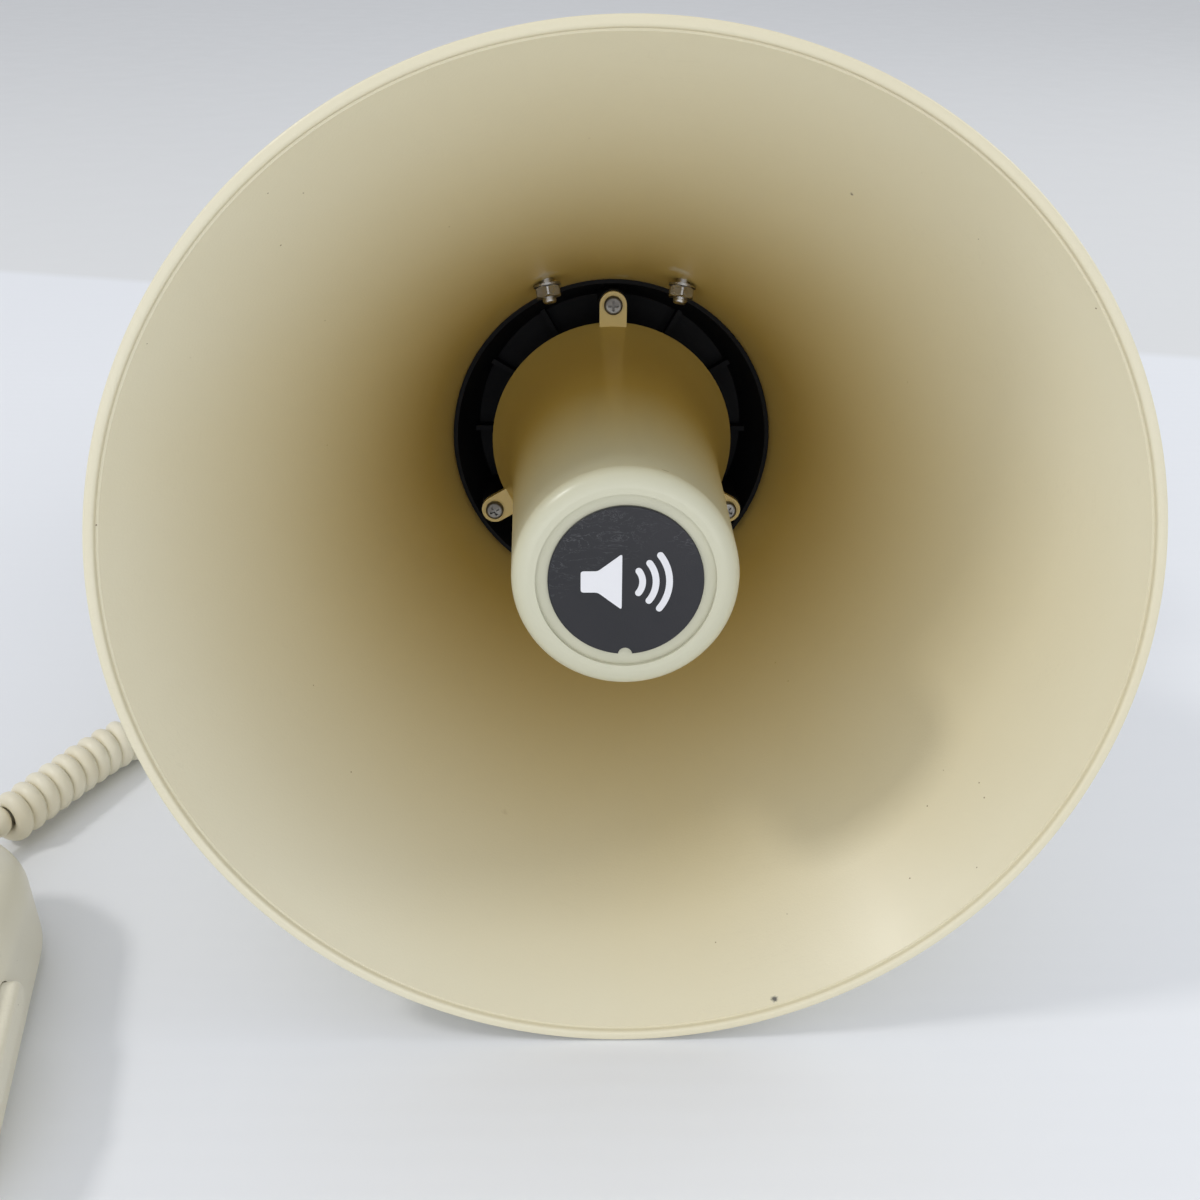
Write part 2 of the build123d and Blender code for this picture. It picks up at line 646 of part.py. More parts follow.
def capacitors():
    places = [(18, -16, 5.0, 12.0), (24, 2, 5.0, 12.0), (-28, 14, 4.0, 9.0)]
    cans = []
    for x, z, radius, length in places:
        can = Cylinder(radius, length, align=BASE)
        can = fillet(can.edges().group_by(Axis.Z)[-1], 0.6)
        cans.append(at((x, BOARD_Y, z), (0, -1, 0)) * can)
    return group(cans)


def heat_sink():
    front = BOARD_Y - 12
    sink = block((-18, BOARD_Y - 2, 8), (16, BOARD_Y, 26))
    for i in range(6):
        x = -18 + i * 6.4
        sink += block((x, front, 8), (x + 2, BOARD_Y, 26))
    return sink


def battery_partition():
    wall = disc(CASE_BORE - 0.2, PARTITION_Y, PARTITION_END)
    for x, z in board_post_places():
        wall -= rod((x, PARTITION_Y - 1, z), (0, 1, 0), M3_RADIUS + THREAD_FIT, PARTITION_THICK + 2)
    return wall


def case_contacts():
    # Leaf springs that touch the tray's front plate when the tray is home.
    rise = CONTACT_GAP - SLIP
    leaf = block((-4, PARTITION_END, -9), (4, PARTITION_END + STRIP, 9))
    arm = block((-3, PARTITION_END, -9), (3, PARTITION_END + rise, -8.2))
    pad = block((-3, PARTITION_END + rise - STRIP, -9), (3, PARTITION_END + rise, 3))
    return group([Pos(x, 0, 0) * (leaf + arm + pad) for x in (-16, 16)])


# ---------------------------------------------------------------- battery tray

def column_places():
    return [(sx * CELL_OFFSET, sz * CELL_OFFSET) for sx in (-1, 1) for sz in (-1, 1)]


def battery_tray():
    reach = CELL_OFFSET + CELL_RADIUS
    web = CELL_GAP * 0.7
    frame = disc(TRAY_RADIUS, TRAY_Y, TRAY_Y + TRAY_PLATE)
    frame -= block((-THUMBSCREW_RADIUS - 5, TRAY_Y - 1, THUMBSCREW_HEIGHT - THUMBSCREW_RADIUS - 5),
                   (THUMBSCREW_RADIUS + 5, TRAY_Y + 5, TRAY_RADIUS + 1))
    frame += disc(TRAY_RADIUS, REAR_PLATE_Y, LID_FLOOR_Y)
    frame -= rod((0, REAR_PLATE_Y - 1, THUMBSCREW_HEIGHT), (0, 1, 0), THUMBSCREW_RADIUS + 1, TRAY_PLATE + 2)
    frame += block((-web, TRAY_Y, -reach), (web, LID_FLOOR_Y, reach))
    frame += block((-reach, TRAY_Y, -web), (reach, LID_FLOOR_Y, web))
    for x in (-reach - 2.5, reach + 0.3):
        frame += block((x, TRAY_Y, -8), (x + 2.2, LID_FLOOR_Y, 8))
    return frame


def battery_cells():
    cells = []
    for i, (x, z) in enumerate(column_places()):
        for step in range(2):
            body = Cylinder(CELL_RADIUS, CELL_LENGTH - 1.5, align=BASE)
            body = chamfer(body.edges().filter_by(GeomType.CIRCLE), 0.8)
            cell = body + Pos(0, 0, CELL_LENGTH - 1.5) * Cylinder(2.75, 1.5, align=BASE)
            y = CELLS_Y + step * CELL_LENGTH
            if i in (1, 2):
                cells.append(at((x, y + CELL_LENGTH, z), (0, -1, 0)) * cell)
            else:
                cells.append(at((x, y, z), (0, 1, 0)) * cell)
    return group(cells)


def tray_contacts():
    # Stepped springs at the front, bridging strips at the rear.
    springs = []
    front = TRAY_Y + TRAY_PLATE
    for x, z in column_places():
        base = Pos(x, 0, z) * ring(3.2, 6.5, front, front + STRIP)
        springs.append(base + Pos(x, 0, z) * ring(2.2, 4.0, front, CELLS_Y))
    strips = [block((x - 4, CELLS_END, -CELL_OFFSET - 5), (x + 4, REAR_PLATE_Y, -CELL_GAP))
              for x in (-CELL_OFFSET, CELL_OFFSET)]
    strips += [block((x - 4, CELLS_END, CELL_GAP), (x + 4, REAR_PLATE_Y, CELL_OFFSET + 5))
               for x in (-CELL_OFFSET, CELL_OFFSET)]
    return group(springs + strips)


def battery_lid():
    rim = CASE_RADIUS - CASE_WALL + 0.2
    soft = 4.0
    corner = soft * (1 - sqrt(0.5))
    outer = [
        Line((0, LID_FLOOR_Y), (rim, LID_FLOOR_Y)), Line((rim, LID_FLOOR_Y), (rim, LID_Y)),
        Line((rim, LID_Y), (CASE_RADIUS, LID_Y)), Line((CASE_RADIUS, LID_Y), (CASE_RADIUS, LID_END - soft)),
        ThreePointArc((CASE_RADIUS, LID_END - soft), (CASE_RADIUS - corner, LID_END - corner),
                      (CASE_RADIUS - soft, LID_END)),
        Line((CASE_RADIUS - soft, LID_END), (0, LID_END)), Line((0, LID_END), (0, LID_FLOOR_Y))]
    lid = turned_edges(outer)
    for i in range(3):
        lid -= ring(14 + 9 * i, 16 + 9 * i, LID_END - 0.8, LID_END + 1)
    return lid - rod((0, LID_FLOOR_Y - 1, THUMBSCREW_HEIGHT), (0, 1, 0),
                     THUMBSCREW_RADIUS + RUNNING_FIT, LID_FLOOR + 2)


def lid_seal():
    return ring(CASE_BORE + 0.4, CASE_RADIUS - 0.4, SEAL_Y, LID_Y)


def thumbscrew():
    start = CASE_END - THUMB_BOSS_LENGTH + 1
    knob_y = LID_END + SLIP
    knob = Cylinder(THUMB_KNOB_RADIUS, THUMB_KNOB_LENGTH, align=BASE)
    knob = chamfer(knob.edges().group_by(Axis.Z)[-1], 0.8)
    for i in range(12):
        flute = Pos(THUMB_KNOB_RADIUS + 0.5, 0, 0) * Cylinder(1.2, 30)
        knob -= Rot(Z=30 * i) * flute
    knob -= Pos(0, 0, THUMB_KNOB_LENGTH) * Box(2 * THUMB_KNOB_RADIUS + 2, 1.6, 3.0)
    shank = rod((0, start, THUMBSCREW_HEIGHT), (0, 1, 0), THUMBSCREW_RADIUS, knob_y - start + 1)
    return at((0, knob_y, THUMBSCREW_HEIGHT), (0, 1, 0)) * knob + shank


# ---------------------------------------------------------------- rear foot

def stand_foot():
    # Drawn in the standing frame, because its underside is level.
    foot = Pos(0, 0, PAD_THICK) * extrude(RectangleRounded(FOOT_WIDTH, FOOT_LENGTH, 8), FOOT_DROP - 30)
    screws = [HORN_PLACE * m3_hole(point, direction, 30) for point, direction in case_screw_places()[2:4]]
    for hole in screws:
        foot -= hole
    return foot - HORN_PLACE * disc(CASE_RADIUS, FOOT_Y - 80, FOOT_Y + 80)


def foot_pad():
    width = FOOT_WIDTH - 2 * PAD_INSET
    length = FOOT_LENGTH - 2 * PAD_INSET
    pad = extrude(RectangleRounded(width, length, 6), PAD_THICK)
    return chamfer(pad.edges().group_by(Axis.Z)[0], 0.5)


# ---------------------------------------------------------------- carry handle

def eye_place(front):
    # Middle of the hole that a strap ring hangs in.
    y = BOLT_Y - SADDLE_LENGTH / 2 - 4 if front else HANDLE_REAR + LEG_THICK / 2 + 5
    return (0, y, GRIP_HIGH - EYE_RADIUS)


def handle_outline():
    start = BOLT_Y - SADDLE_LENGTH / 2
    front_top = start + 12
    rear = HANDLE_REAR + LEG_THICK / 2
    low = CASE_RADIUS - 5
    outline = Polyline((start + 2, low), (front_top, GRIP_HIGH), (rear - 4, GRIP_HIGH), (rear, low),
                       (rear - LEG_THICK, low), (rear - LEG_THICK + 2, GRIP_LOW),
                       (front_top + 24, GRIP_LOW), (start + SADDLE_LENGTH, low), close=True)
    face = make_face(Plane.YZ * outline)
    top = face.vertices().group_by(Axis.Z)[-1]
    face = fillet(top, 12)
    inner = [v for v in face.vertices() if abs(v.Z - GRIP_LOW) < 0.01]
    return fillet(inner, 9)


def carry_handle():
    bow = extrude(handle_outline(), GRIP_WIDTH / 2, both=True)
    bow = fillet(bow.faces().filter_by(Axis.X).edges(), 4.5)
    start = BOLT_Y - SADDLE_LENGTH / 2
    top = bell_outside(BOLT_Y) + SADDLE_THICK
    saddle = block((-SADDLE_WIDTH / 2, start, CASE_RADIUS - 22), (SADDLE_WIDTH / 2, start + SADDLE_LENGTH, top))
    saddle = fillet(saddle.edges().filter_by(Axis.Z) + saddle.edges().group_by(Axis.Z)[-1], 3)
    plate = block((-REAR_PLATE_WIDTH / 2, HANDLE_REAR - LEG_THICK / 2, CASE_RADIUS - 18),
                  (REAR_PLATE_WIDTH / 2, HANDLE_REAR + LEG_THICK / 2, CASE_RADIUS + REAR_PLATE_THICK))
    plate = fillet(plate.edges().filter_by(Axis.Z) + plate.edges().group_by(Axis.Z)[-1], 3)
    handle = bow + saddle + plate
    for front in (True, False):
        x, y, z = eye_place(front)
        inside = y + 16 if front else y - 12
        handle += rod((-EYE_THICK / 2, y, z), (1, 0, 0), EYE_RADIUS, EYE_THICK)
        handle += block((-EYE_THICK / 2, min(y, inside), z - EYE_RADIUS),
                        (EYE_THICK / 2, max(y, inside), z + EYE_RADIUS - 1))
        handle -= rod((-EYE_THICK, y, z), (1, 0, 0), EYE_HOLE, 2 * EYE_THICK)
    handle -= bell_skin()
    handle -= disc(CASE_RADIUS, COLLAR_Y + COLLAR_LENGTH + COLLAR_TAPER, CASE_END + 20)
    for side in (-1, 1):
        shank = Cylinder(BOLT_RADIUS + THREAD_FIT, 40)
        bore = Pos(0, 0, 7.0) * Cylinder(4.4, 30, align=BASE)
        handle -= bolt_plane(side) * (shank + bore)
    for point, direction in case_screw_places()[:2]:
        handle -= m3_hole(point, direction, 30)
    return handle


def handle_grip():
    middle = (BOLT_Y + HANDLE_REAR) / 2 + 4
    height = (GRIP_LOW + GRIP_HIGH) / 2
    section = Plane.XZ * RectangleRounded(GRIP_WIDTH + 2 * SLEEVE_THICK, GRIP_THICK + 2 * SLEEVE_THICK, 6.5)
    sleeve = Pos(0, middle, height) * extrude(section, SLEEVE_LENGTH / 2, both=True)
    bow = fillet(extrude(handle_outline(), GRIP_WIDTH / 2, both=True).faces().filter_by(Axis.X).edges(), 4.5)
    return sleeve - bow


def handle_bolts():
    bolts = []
    end = BELL_WALL / 2 + SEAT_HEIGHT + WASHER + NUT_HEIGHT + 1.7
    for side in (-1, 1):
        head = Pos(0, 0, 7.0) * pan_screw(BOLT_RADIUS, 4.0, 2.6, 7.0 + end)
        tip = head.edges().filter_by(GeomType.CIRCLE).group_by(Axis.Z)[0]
        bolts.append(bolt_plane(side) * fillet(tip, 0.8))
    return group(bolts)


def handle_nuts():
    seat = -(BELL_WALL / 2 + SEAT_HEIGHT)
    nuts = []
    for side in (-1, 1):
        washer = Pos(0, 0, seat) * Cylinder(WASHER_RADIUS, WASHER, align=HANG)
        hexagon = extrude(RegularPolygon(NUT_WIDTH / 2, 6, major_radius=False), NUT_HEIGHT)
        dome = Cylinder(NUT_WIDTH / 2 + 0.4, NUT_HEIGHT, align=BASE)
        dome = chamfer(dome.edges().filter_by(GeomType.CIRCLE), 0.5)
        nut = Pos(0, 0, seat - WASHER - NUT_HEIGHT) * (hexagon & dome)
        bore = Cylinder(BOLT_RADIUS + THREAD_FIT, 40)
        nuts.append(bolt_plane(side) * (washer - bore))
        nuts.append(bolt_plane(side) * (nut - bore))
    return group(nuts)


def strap_ring(front):
    # Hangs straight down in the standing frame.
    x, y, z = eye_place(front)
    eye = HORN_PLACE * Pos(x, y, z)
    centre = eye.position
    return Pos(centre.X, centre.Y, centre.Z - RING_RADIUS) * Rot(X=90) * Torus(RING_RADIUS, RING_WIRE)


# ---------------------------------------------------------------- control pod

def pod_block(inset):
    low = (POD_FACE + inset, POD_Y + inset, POD_LOW + inset)
    high = (-CASE_RADIUS + 20, POD_END - inset, POD_HIGH - inset)
    body = block(low, high)
    body = fillet(body.edges().filter_by(Axis.X), POD_ROUND - inset)
    return fillet(body.edges().group_by(Axis.X)[0], POD_EDGE - inset)


def slider_slot(margin):
    half = SLIDER_LENGTH / 2 + margin
    return block((POD_FACE - 1, SLIDER_Y - half, -SLIDER_WIDTH / 2 - margin),
                 (POD_FACE + 12, SLIDER_Y + SLIDER_TRAVEL + half, SLIDER_WIDTH / 2 + margin))


def control_pod():
    pod = pod_block(0) - pod_block(POD_WALL)
    for y in (POD_Y + 6.5, POD_END - 6.5):
        pod += rod((POD_FACE + 1, y, 1.0), (1, 0, 0), POD_POST, POD_DEPTH + 10)
    pod -= disc(CASE_RADIUS, POD_Y - 10, POD_END + 10)
    pod -= rod((POD_FACE - 1, KNOB_Y, 4), (1, 0, 0), KNOB_SHAFT + 1.0, POD_WALL + 2)
    pod -= rod((POD_FACE - 1, SLIDER_Y - 9, 14), (1, 0, 0), LAMP_RADIUS + THREAD_FIT, POD_WALL + 2)
    pod -= slider_slot(SLIP)
    socket_x = POD_FACE + SOCKET_INSET
    pod -= rod((socket_x, POD_Y - 1, GLAND_HEIGHT), (0, 1, 0), GLAND_TIP + 1, POD_WALL + 2)
    pod -= rod((socket_x, POD_END - POD_WALL - 1, JACK_HEIGHT), (0, 1, 0), JACK_RADIUS - 1, POD_WALL + 2)
    for point, direction in case_screw_places()[6:]:
        pod -= m3_hole(point, direction, 1)
    return pod


def volume_pot():
    x = POD_FACE + POD_WALL
    body = rod((x, KNOB_Y, 4), (1, 0, 0), POT_RADIUS, POT_DEPTH)
    return body - rod((x - 1, KNOB_Y, 4), (1, 0, 0), KNOB_SHAFT + RUNNING_FIT, POT_DEPTH - 1)


def volume_knob():
    x = POD_FACE - 0.5
    knob = Cylinder(KNOB_RADIUS, KNOB_LENGTH, align=BASE)
    knob = chamfer(knob.edges().group_by(Axis.Z)[-1], 1.0)
    for i in range(16):
        knob -= Rot(Z=22.5 * i) * Pos(KNOB_RADIUS + 0.7, 0, 1.5) * Cylinder(1.4, 30, align=BASE)
    knob -= Pos(KNOB_RADIUS * 0.6, 0, KNOB_LENGTH) * Box(KNOB_RADIUS * 0.7, 1.0, 1.0)
    shaft = rod((x, KNOB_Y, 4), (1, 0, 0), KNOB_SHAFT, POD_WALL + POT_DEPTH - 2)
    return at((x, KNOB_Y, 4), (-1, 0, 0)) * knob + shaft


def selector_slider():
    half = SLIDER_LENGTH / 2
    wide = SLIDER_WIDTH / 2
    cap = block((POD_FACE - 3.5, SLIDER_Y - half, -wide), (POD_FACE + POD_WALL + 2, SLIDER_Y + half, wide))
    cap = chamfer(cap.edges().group_by(Axis.X)[0], 0.5)
    return cap


def selector_switch():
    x = POD_FACE + POD_WALL + 2 + SLIP
    return block((x, SLIDER_Y - 6, -4), (x + 5, SLIDER_Y + SLIDER_TRAVEL + 3, 4))


def power_lamp():
    lens = Cylinder(LAMP_RADIUS, POD_WALL + 4, align=BASE)
    lens = fillet(lens.edges().group_by(Axis.Z)[-1], LAMP_RADIUS * 0.8)
    flange = Cylinder(LAMP_RADIUS + 0.8, 1.2, align=HANG)
    return at((POD_FACE + POD_WALL, SLIDER_Y - 9, 14), (-1, 0, 0)) * (lens + flange)


def dc_jack():
    # A socket for a 2.1 mm plug: sleeve inside the pod, nose through its rear wall.
    y = POD_END - POD_WALL
    centre = (POD_FACE + SOCKET_INSET, y, JACK_HEIGHT)
    nose = rod(centre, (0, 1, 0), JACK_RADIUS - 1 - THREAD_FIT, POD_WALL + 1)
    body = rod(centre, (0, -1, 0), JACK_RADIUS, JACK_LENGTH)
    bore = rod((centre[0], POD_END + 2, centre[2]), (0, -1, 0), JACK_BORE, JACK_LENGTH)
    pin = rod((centre[0], POD_END - 1, centre[2]), (0, -1, 0), 1.0, JACK_LENGTH)
    return nose + body - bore + pin


def cord_gland():
    # Tapered and slotted so that it bends with the cord.
    seat = (POD_FACE + SOCKET_INSET, POD_Y, GLAND_HEIGHT)
    sleeve = Cone(GLAND_RADIUS, GLAND_TIP, GLAND_LENGTH, align=BASE)
    for i in range(3):
        groove = Pos(0, 0, 6 + 5 * i) * (Cylinder(8, 1.4) - Cylinder(GLAND_TIP - 0.4, 1.4))
        sleeve -= groove
    root = Cylinder(GLAND_TIP + 1 - THREAD_FIT, POD_WALL + 2, align=HANG)
    collar = Pos(0, 0, -POD_WALL) * Cylinder(GLAND_TIP + 1.2, 2, align=HANG)
    return at(seat, (0, -1, 0)) * (sleeve + root + collar)


# ---------------------------------------------------------------- microphone bracket

def mic_bracket():
    low = (CASE_RADIUS - 4, BRACKET_Y - BRACKET_LENGTH / 2, -BRACKET_HEIGHT / 2)
    high = (CASE_RADIUS + BRACKET_THICK, BRACKET_Y + BRACKET_LENGTH / 2, BRACKET_HEIGHT / 2)
    plate = block(low, high)
    plate = fillet(plate.edges().filter_by(Axis.X), 4)
    plate -= disc(CASE_RADIUS, BRACKET_Y - 30, BRACKET_Y + 30)
    for point, direction in case_screw_places()[4:6]:
        plate -= m3_hole(point, direction, 5)
    neck = rod((CASE_RADIUS + BRACKET_THICK - 1, BRACKET_Y, 0), (1, 0, 0), STUD_RADIUS, 5)
    head = rod((CASE_RADIUS + BRACKET_THICK + 4, BRACKET_Y, 0), (1, 0, 0), STUD_HEAD, 2.2)
    head = fillet(head.edges().group_by(Axis.X)[-1], 0.9)
    return plate + neck + head


# ---------------------------------------------------------------- hand microphone

def mic_outline(inset):
    # Square-shouldered at the head, a half ellipse at the cord end.
    half = MIC_WIDTH / 2 - inset
    head = -MIC_HEAD + inset
    tail = MIC_TAIL - inset
    drop = tail - MIC_SHOULDER
    arc = [(half * cos(radians(a)), MIC_SHOULDER + drop * sin(radians(a))) for a in (0, 30, 60, 90)]
    right = Spline(*arc, tangents=[(0, 1), (-1, 0)])
    left = Spline(*[(-x, y) for x, y in reversed(arc)], tangents=[(-1, 0), (0, -1)])
    face = make_face(Curve() + [
        right, left, Line((-half, MIC_SHOULDER), (-half, head)), Line((-half, head), (half, head)),
        Line((half, head), (half, MIC_SHOULDER))])
    return fillet(face.vertices().group_by(Axis.Y)[0], MIC_CORNER - inset)


def mic_block(inset):
    body = Pos(0, 0, inset) * extrude(mic_outline(inset), MIC_THICK - 2 * inset)
    body = fillet(body.edges().group_by(Axis.Z)[-1], MIC_TOP_ROUND - inset)
    return fillet(body.edges().group_by(Axis.Z)[0], MIC_BOTTOM_ROUND - inset)


def mic_shell(low, high):
    window = block((-100, -100, low), (100, 100, high))
    return (mic_block(0) - mic_block(MIC_WALL)) & window


def bar_slot(margin, x0, x1):
    # A slot-shaped prism across the microphone's right side.
    size = SlotOverall(BAR_LENGTH + 2 * margin, BAR_HEIGHT + 2 * margin)
    prism = extrude(Plane.YZ * size, x1 - x0)
    return Pos(x0, BAR_FRONT - BAR_LENGTH / 2, BAR_Z) * prism


def mic_front_shell():
    shell = mic_shell(MIC_PARTING, MIC_THICK + 1)
    top = MIC_THICK - MIC_WALL
    for x, y in MIC_POSTS:
        shell += Pos(x, y, MIC_PARTING) * Cylinder(3.4, top - MIC_PARTING + 0.5, align=BASE)
        shell -= Pos(x, y, MIC_PARTING - 1) * Cylinder(SMALL_RADIUS + THREAD_FIT, 10, align=BASE)
    shell -= Pos(0, GRILLE_Y, top - 1) * Cylinder(GRILLE_RADIUS - 1.5, 5, align=BASE)
    shell -= Pos(0, GRILLE_Y, MIC_THICK - GRILLE_THICK) * Cylinder(GRILLE_RADIUS + THREAD_FIT, 5, align=BASE)
    return shell - bar_slot(SLIP, MIC_WIDTH / 2 - MIC_WALL - 3, MIC_WIDTH / 2 + 5)


def mic_rear_shell():
    shell = mic_shell(-1, MIC_PARTING)
    for x, y in MIC_POSTS:
        shell += Pos(x, y, 1) * Cylinder(4.2, MIC_PARTING - 1, align=BASE)
        shell -= Pos(x, y, -1) * Cylinder(SMALL_RADIUS + THREAD_FIT, 20, align=BASE)
        shell -= Pos(x, y, -1) * Cylinder(SMALL_HEAD + SLIP, 5, align=BASE)
    shell += Pos(0, KEYHOLE_Y, 0.5) * extrude(RectangleRounded(17, 30, 5), 6.5)
    keyhole = Pos(0, KEYHOLE_Y - 7, -1) * Cylinder(STUD_HEAD + SLIP, 6.4, align=BASE)
    keyhole += Pos(0, KEYHOLE_Y + 1, -1) * extrude(SlotOverall(16, 2 * STUD_RADIUS + 0.6, 90), 6.4)
    keyhole += Pos(0, KEYHOLE_Y + 1, 2.2) * extrude(SlotOverall(20, 2 * STUD_HEAD + 0.6, 90), 3.2)
    shell -= keyhole
    return shell - rod((0, MIC_TAIL - 12, MIC_CORD_Z), (0, 1, 0), GROMMET_RADIUS - 1, 20)


def mic_grille():
    plate = Cylinder(GRILLE_RADIUS, GRILLE_THICK, align=BASE)
    plate = fillet(plate.edges().group_by(Axis.Z)[-1], 0.5)
    for i in range(-3, 4):
        reach = sqrt((GRILLE_RADIUS - 3) ** 2 - (3.4 * i) ** 2)
        plate -= Pos(0, 3.4 * i, -1) * extrude(SlotOverall(2 * reach, 1.8), 5)
    return Pos(0, GRILLE_Y, MIC_THICK - GRILLE_THICK) * plate


def mic_capsule():
    top = MIC_THICK - GRILLE_THICK
    can = Pos(0, GRILLE_Y, top) * Cylinder(CAPSULE_RADIUS, CAPSULE_DEPTH, align=HANG)
    return fillet(can.edges().group_by(Axis.Z)[0], 0.6)


def talk_bar():
    outer = MIC_WIDTH / 2 + BAR_PROUD
    inside = MIC_WIDTH / 2 - MIC_WALL - SLIP
    bar = bar_slot(0, inside - BAR_FLANGE, outer)
    bar = fillet(bar.faces().sort_by(Axis.X)[-1].edges(), 1.6)
    half = BAR_LENGTH / 2 + 1.5
    middle = BAR_FRONT - BAR_LENGTH / 2
    return bar + block((inside - BAR_FLANGE, middle - half, BAR_Z - 2.5), (inside, middle + half, BAR_Z + 2.5))


def talk_switch():
    reach = MIC_WIDTH / 2 - MIC_WALL - SLIP - BAR_FLANGE - BAR_TRAVEL - 0.2
    y = BAR_FRONT - BAR_LENGTH / 2
    body = block((reach - 8.5, y - 7, BAR_Z - 3.5), (reach - 2, y + 7, BAR_Z + 3.5))
    return body + block((reach - 3, y - 2, BAR_Z - 1.5), (reach, y + 2, BAR_Z + 1.5))


def mic_screws():
    screw = pan_screw(SMALL_RADIUS, SMALL_HEAD, SMALL_HEAD_HEIGHT, 18)
    return group([at((x, y, 4), (0, 0, -1)) * screw for x, y in MIC_POSTS])


def mic_grommet():
    # Collars each side of the end wall, bored for the cord.
    sleeve = rod((0, MIC_TAIL - MIC_WALL - 2.5, MIC_CORD_Z), (0, 1, 0), GROMMET_RADIUS - 1 - THREAD_FIT, MIC_WALL + 5)
    outside = rod((0, MIC_TAIL + 0.2, MIC_CORD_Z), (0, 1, 0), GROMMET_RADIUS, 2.3)
    outside = fillet(outside.edges().group_by(Axis.Y)[-1], 0.8)
    inside = rod((0, MIC_TAIL - MIC_WALL - 1.2, MIC_CORD_Z), (0, -1, 0), GROMMET_RADIUS, 1.3)
    bore = rod((0, MIC_TAIL - 20, MIC_CORD_Z), (0, 1, 0), CORD_RADIUS + 0.1, 40)
    return sleeve + outside + inside - bore


# ---------------------------------------------------------------- cord

def corner_radii(points):
    radii = []
    for a, b, c in zip(points, points[1:], points[2:]):
        first, second = Vector(b) - Vector(a), Vector(c) - Vector(b)
        half_turn = radians(first.get_angle(second)) / 2
        radii.append(0.45 * min(first.length, second.length) / tan(half_turn))
    return radii


def tube(name, points, radius):
    if len(points) == 2:
        path = Line(*points)
    else:
        radii = corner_radii(points)
        print(name, "bend radii", [round(r, 1) for r in radii])
        path = FilletPolyline(*points, radius=radii)
    section = Plane(origin=path @ 0, z_dir=path % 0) * Circle(radius)
    return sweep(section, path=path)


# ---------------------------------------------------------------- the parts

HORN_PARTS = {
    "horn_bell": horn_bell,
    "reflector_horn": reflector_horn,
    "badge_disc": badge_disc,
    "reflector_screws": reflector_screws,
    "throat_bulkhead": throat_bulkhead,
    "throat_tube": throat_tube,
    "driver_front_plate": driver_front_plate,
    "driver_diaphragm": driver_diaphragm,
    "diaphragm_gasket": lambda: ring(PLATE_RADIUS - 6, PLATE_RADIUS, DIAPHRAGM_END, TOP_PLATE_Y),
    "voice_coil": lambda: ring(COIL_INNER, COIL_OUTER, DIAPHRAGM_END, DIAPHRAGM_END + COIL_LENGTH),
    "driver_top_plate": lambda: ring(GAP_BORE, PLATE_RADIUS, TOP_PLATE_Y, MAGNET_Y),
    "driver_magnet": lambda: ring(MAGNET_BORE, MAGNET_RADIUS, MAGNET_Y, YOKE_Y),
    "driver_yoke": driver_yoke,
    "driver_cover": driver_cover,
    "driver_screws": driver_screws,
    "bell_screws": bell_screws,
    "main_case": main_case,
    "case_screws": case_screws,
    "amplifier_board": amplifier_board,
    "board_standoffs": board_standoffs,
    "output_transformer": output_transformer,
    "capacitors": capacitors,
    "heat_sink": heat_sink,
    "battery_partition": battery_partition,
    "case_contacts": case_contacts,
    "battery_tray": battery_tray,
    "battery_cells": battery_cells,
    "tray_contacts": tray_contacts,
    "battery_lid": battery_lid,
    "lid_seal": lid_seal,
    "thumbscrew": thumbscrew,
    "carry_handle": carry_handle,
    "handle_grip": handle_grip,
    "handle_bolts": handle_bolts,
    "handle_nuts": handle_nuts,
    "control_pod": control_pod,
    "volume_pot": volume_pot,
    "volume_knob": volume_knob,
    "selector_slider": selector_slider,
    "selector_switch": selector_switch,
    "power_lamp": power_lamp,
    "dc_jack": dc_jack,
    "cord_gland": cord_gland,
    "mic_bracket": mic_bracket,
}

STANDING_PARTS = {
    "stand_foot": stand_foot,
    "foot_pad": foot_pad,
    "strap_ring_front": lambda: strap_ring(True),
    "strap_ring_rear": lambda: strap_ring(False),
    "cord_tail_body": lambda: tube("cord_tail_body", BODY_TAIL_POINTS, CORD_RADIUS),
    "cord_coil": lambda: tube("cord_coil", COIL_POINTS, COIL_RADIUS),
    "cord_tail_mic": lambda: tube("cord_tail_mic", MIC_TAIL_POINTS, CORD_RADIUS),
}

MIC_PARTS = {
    "mic_front_shell": mic_front_shell,
    "mic_rear_shell": mic_rear_shell,
    "mic_grille": mic_grille,
    "mic_capsule": mic_capsule,
    "talk_bar": talk_bar,
    "talk_switch": talk_switch,
    "mic_screws": mic_screws,
    "mic_grommet": mic_grommet,
}

os.makedirs("parts", exist_ok=True)
for place, parts in ((HORN_PLACE, HORN_PARTS), (Pos(0, 0, 0), STANDING_PARTS), (MIC_PLACE, MIC_PARTS)):
    for name, make in parts.items():
        export_step(place * make(), f"parts/{name}.step")
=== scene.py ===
import json
import math

import bmesh
import bpy
import numpy as np
from mathutils import Matrix, Vector


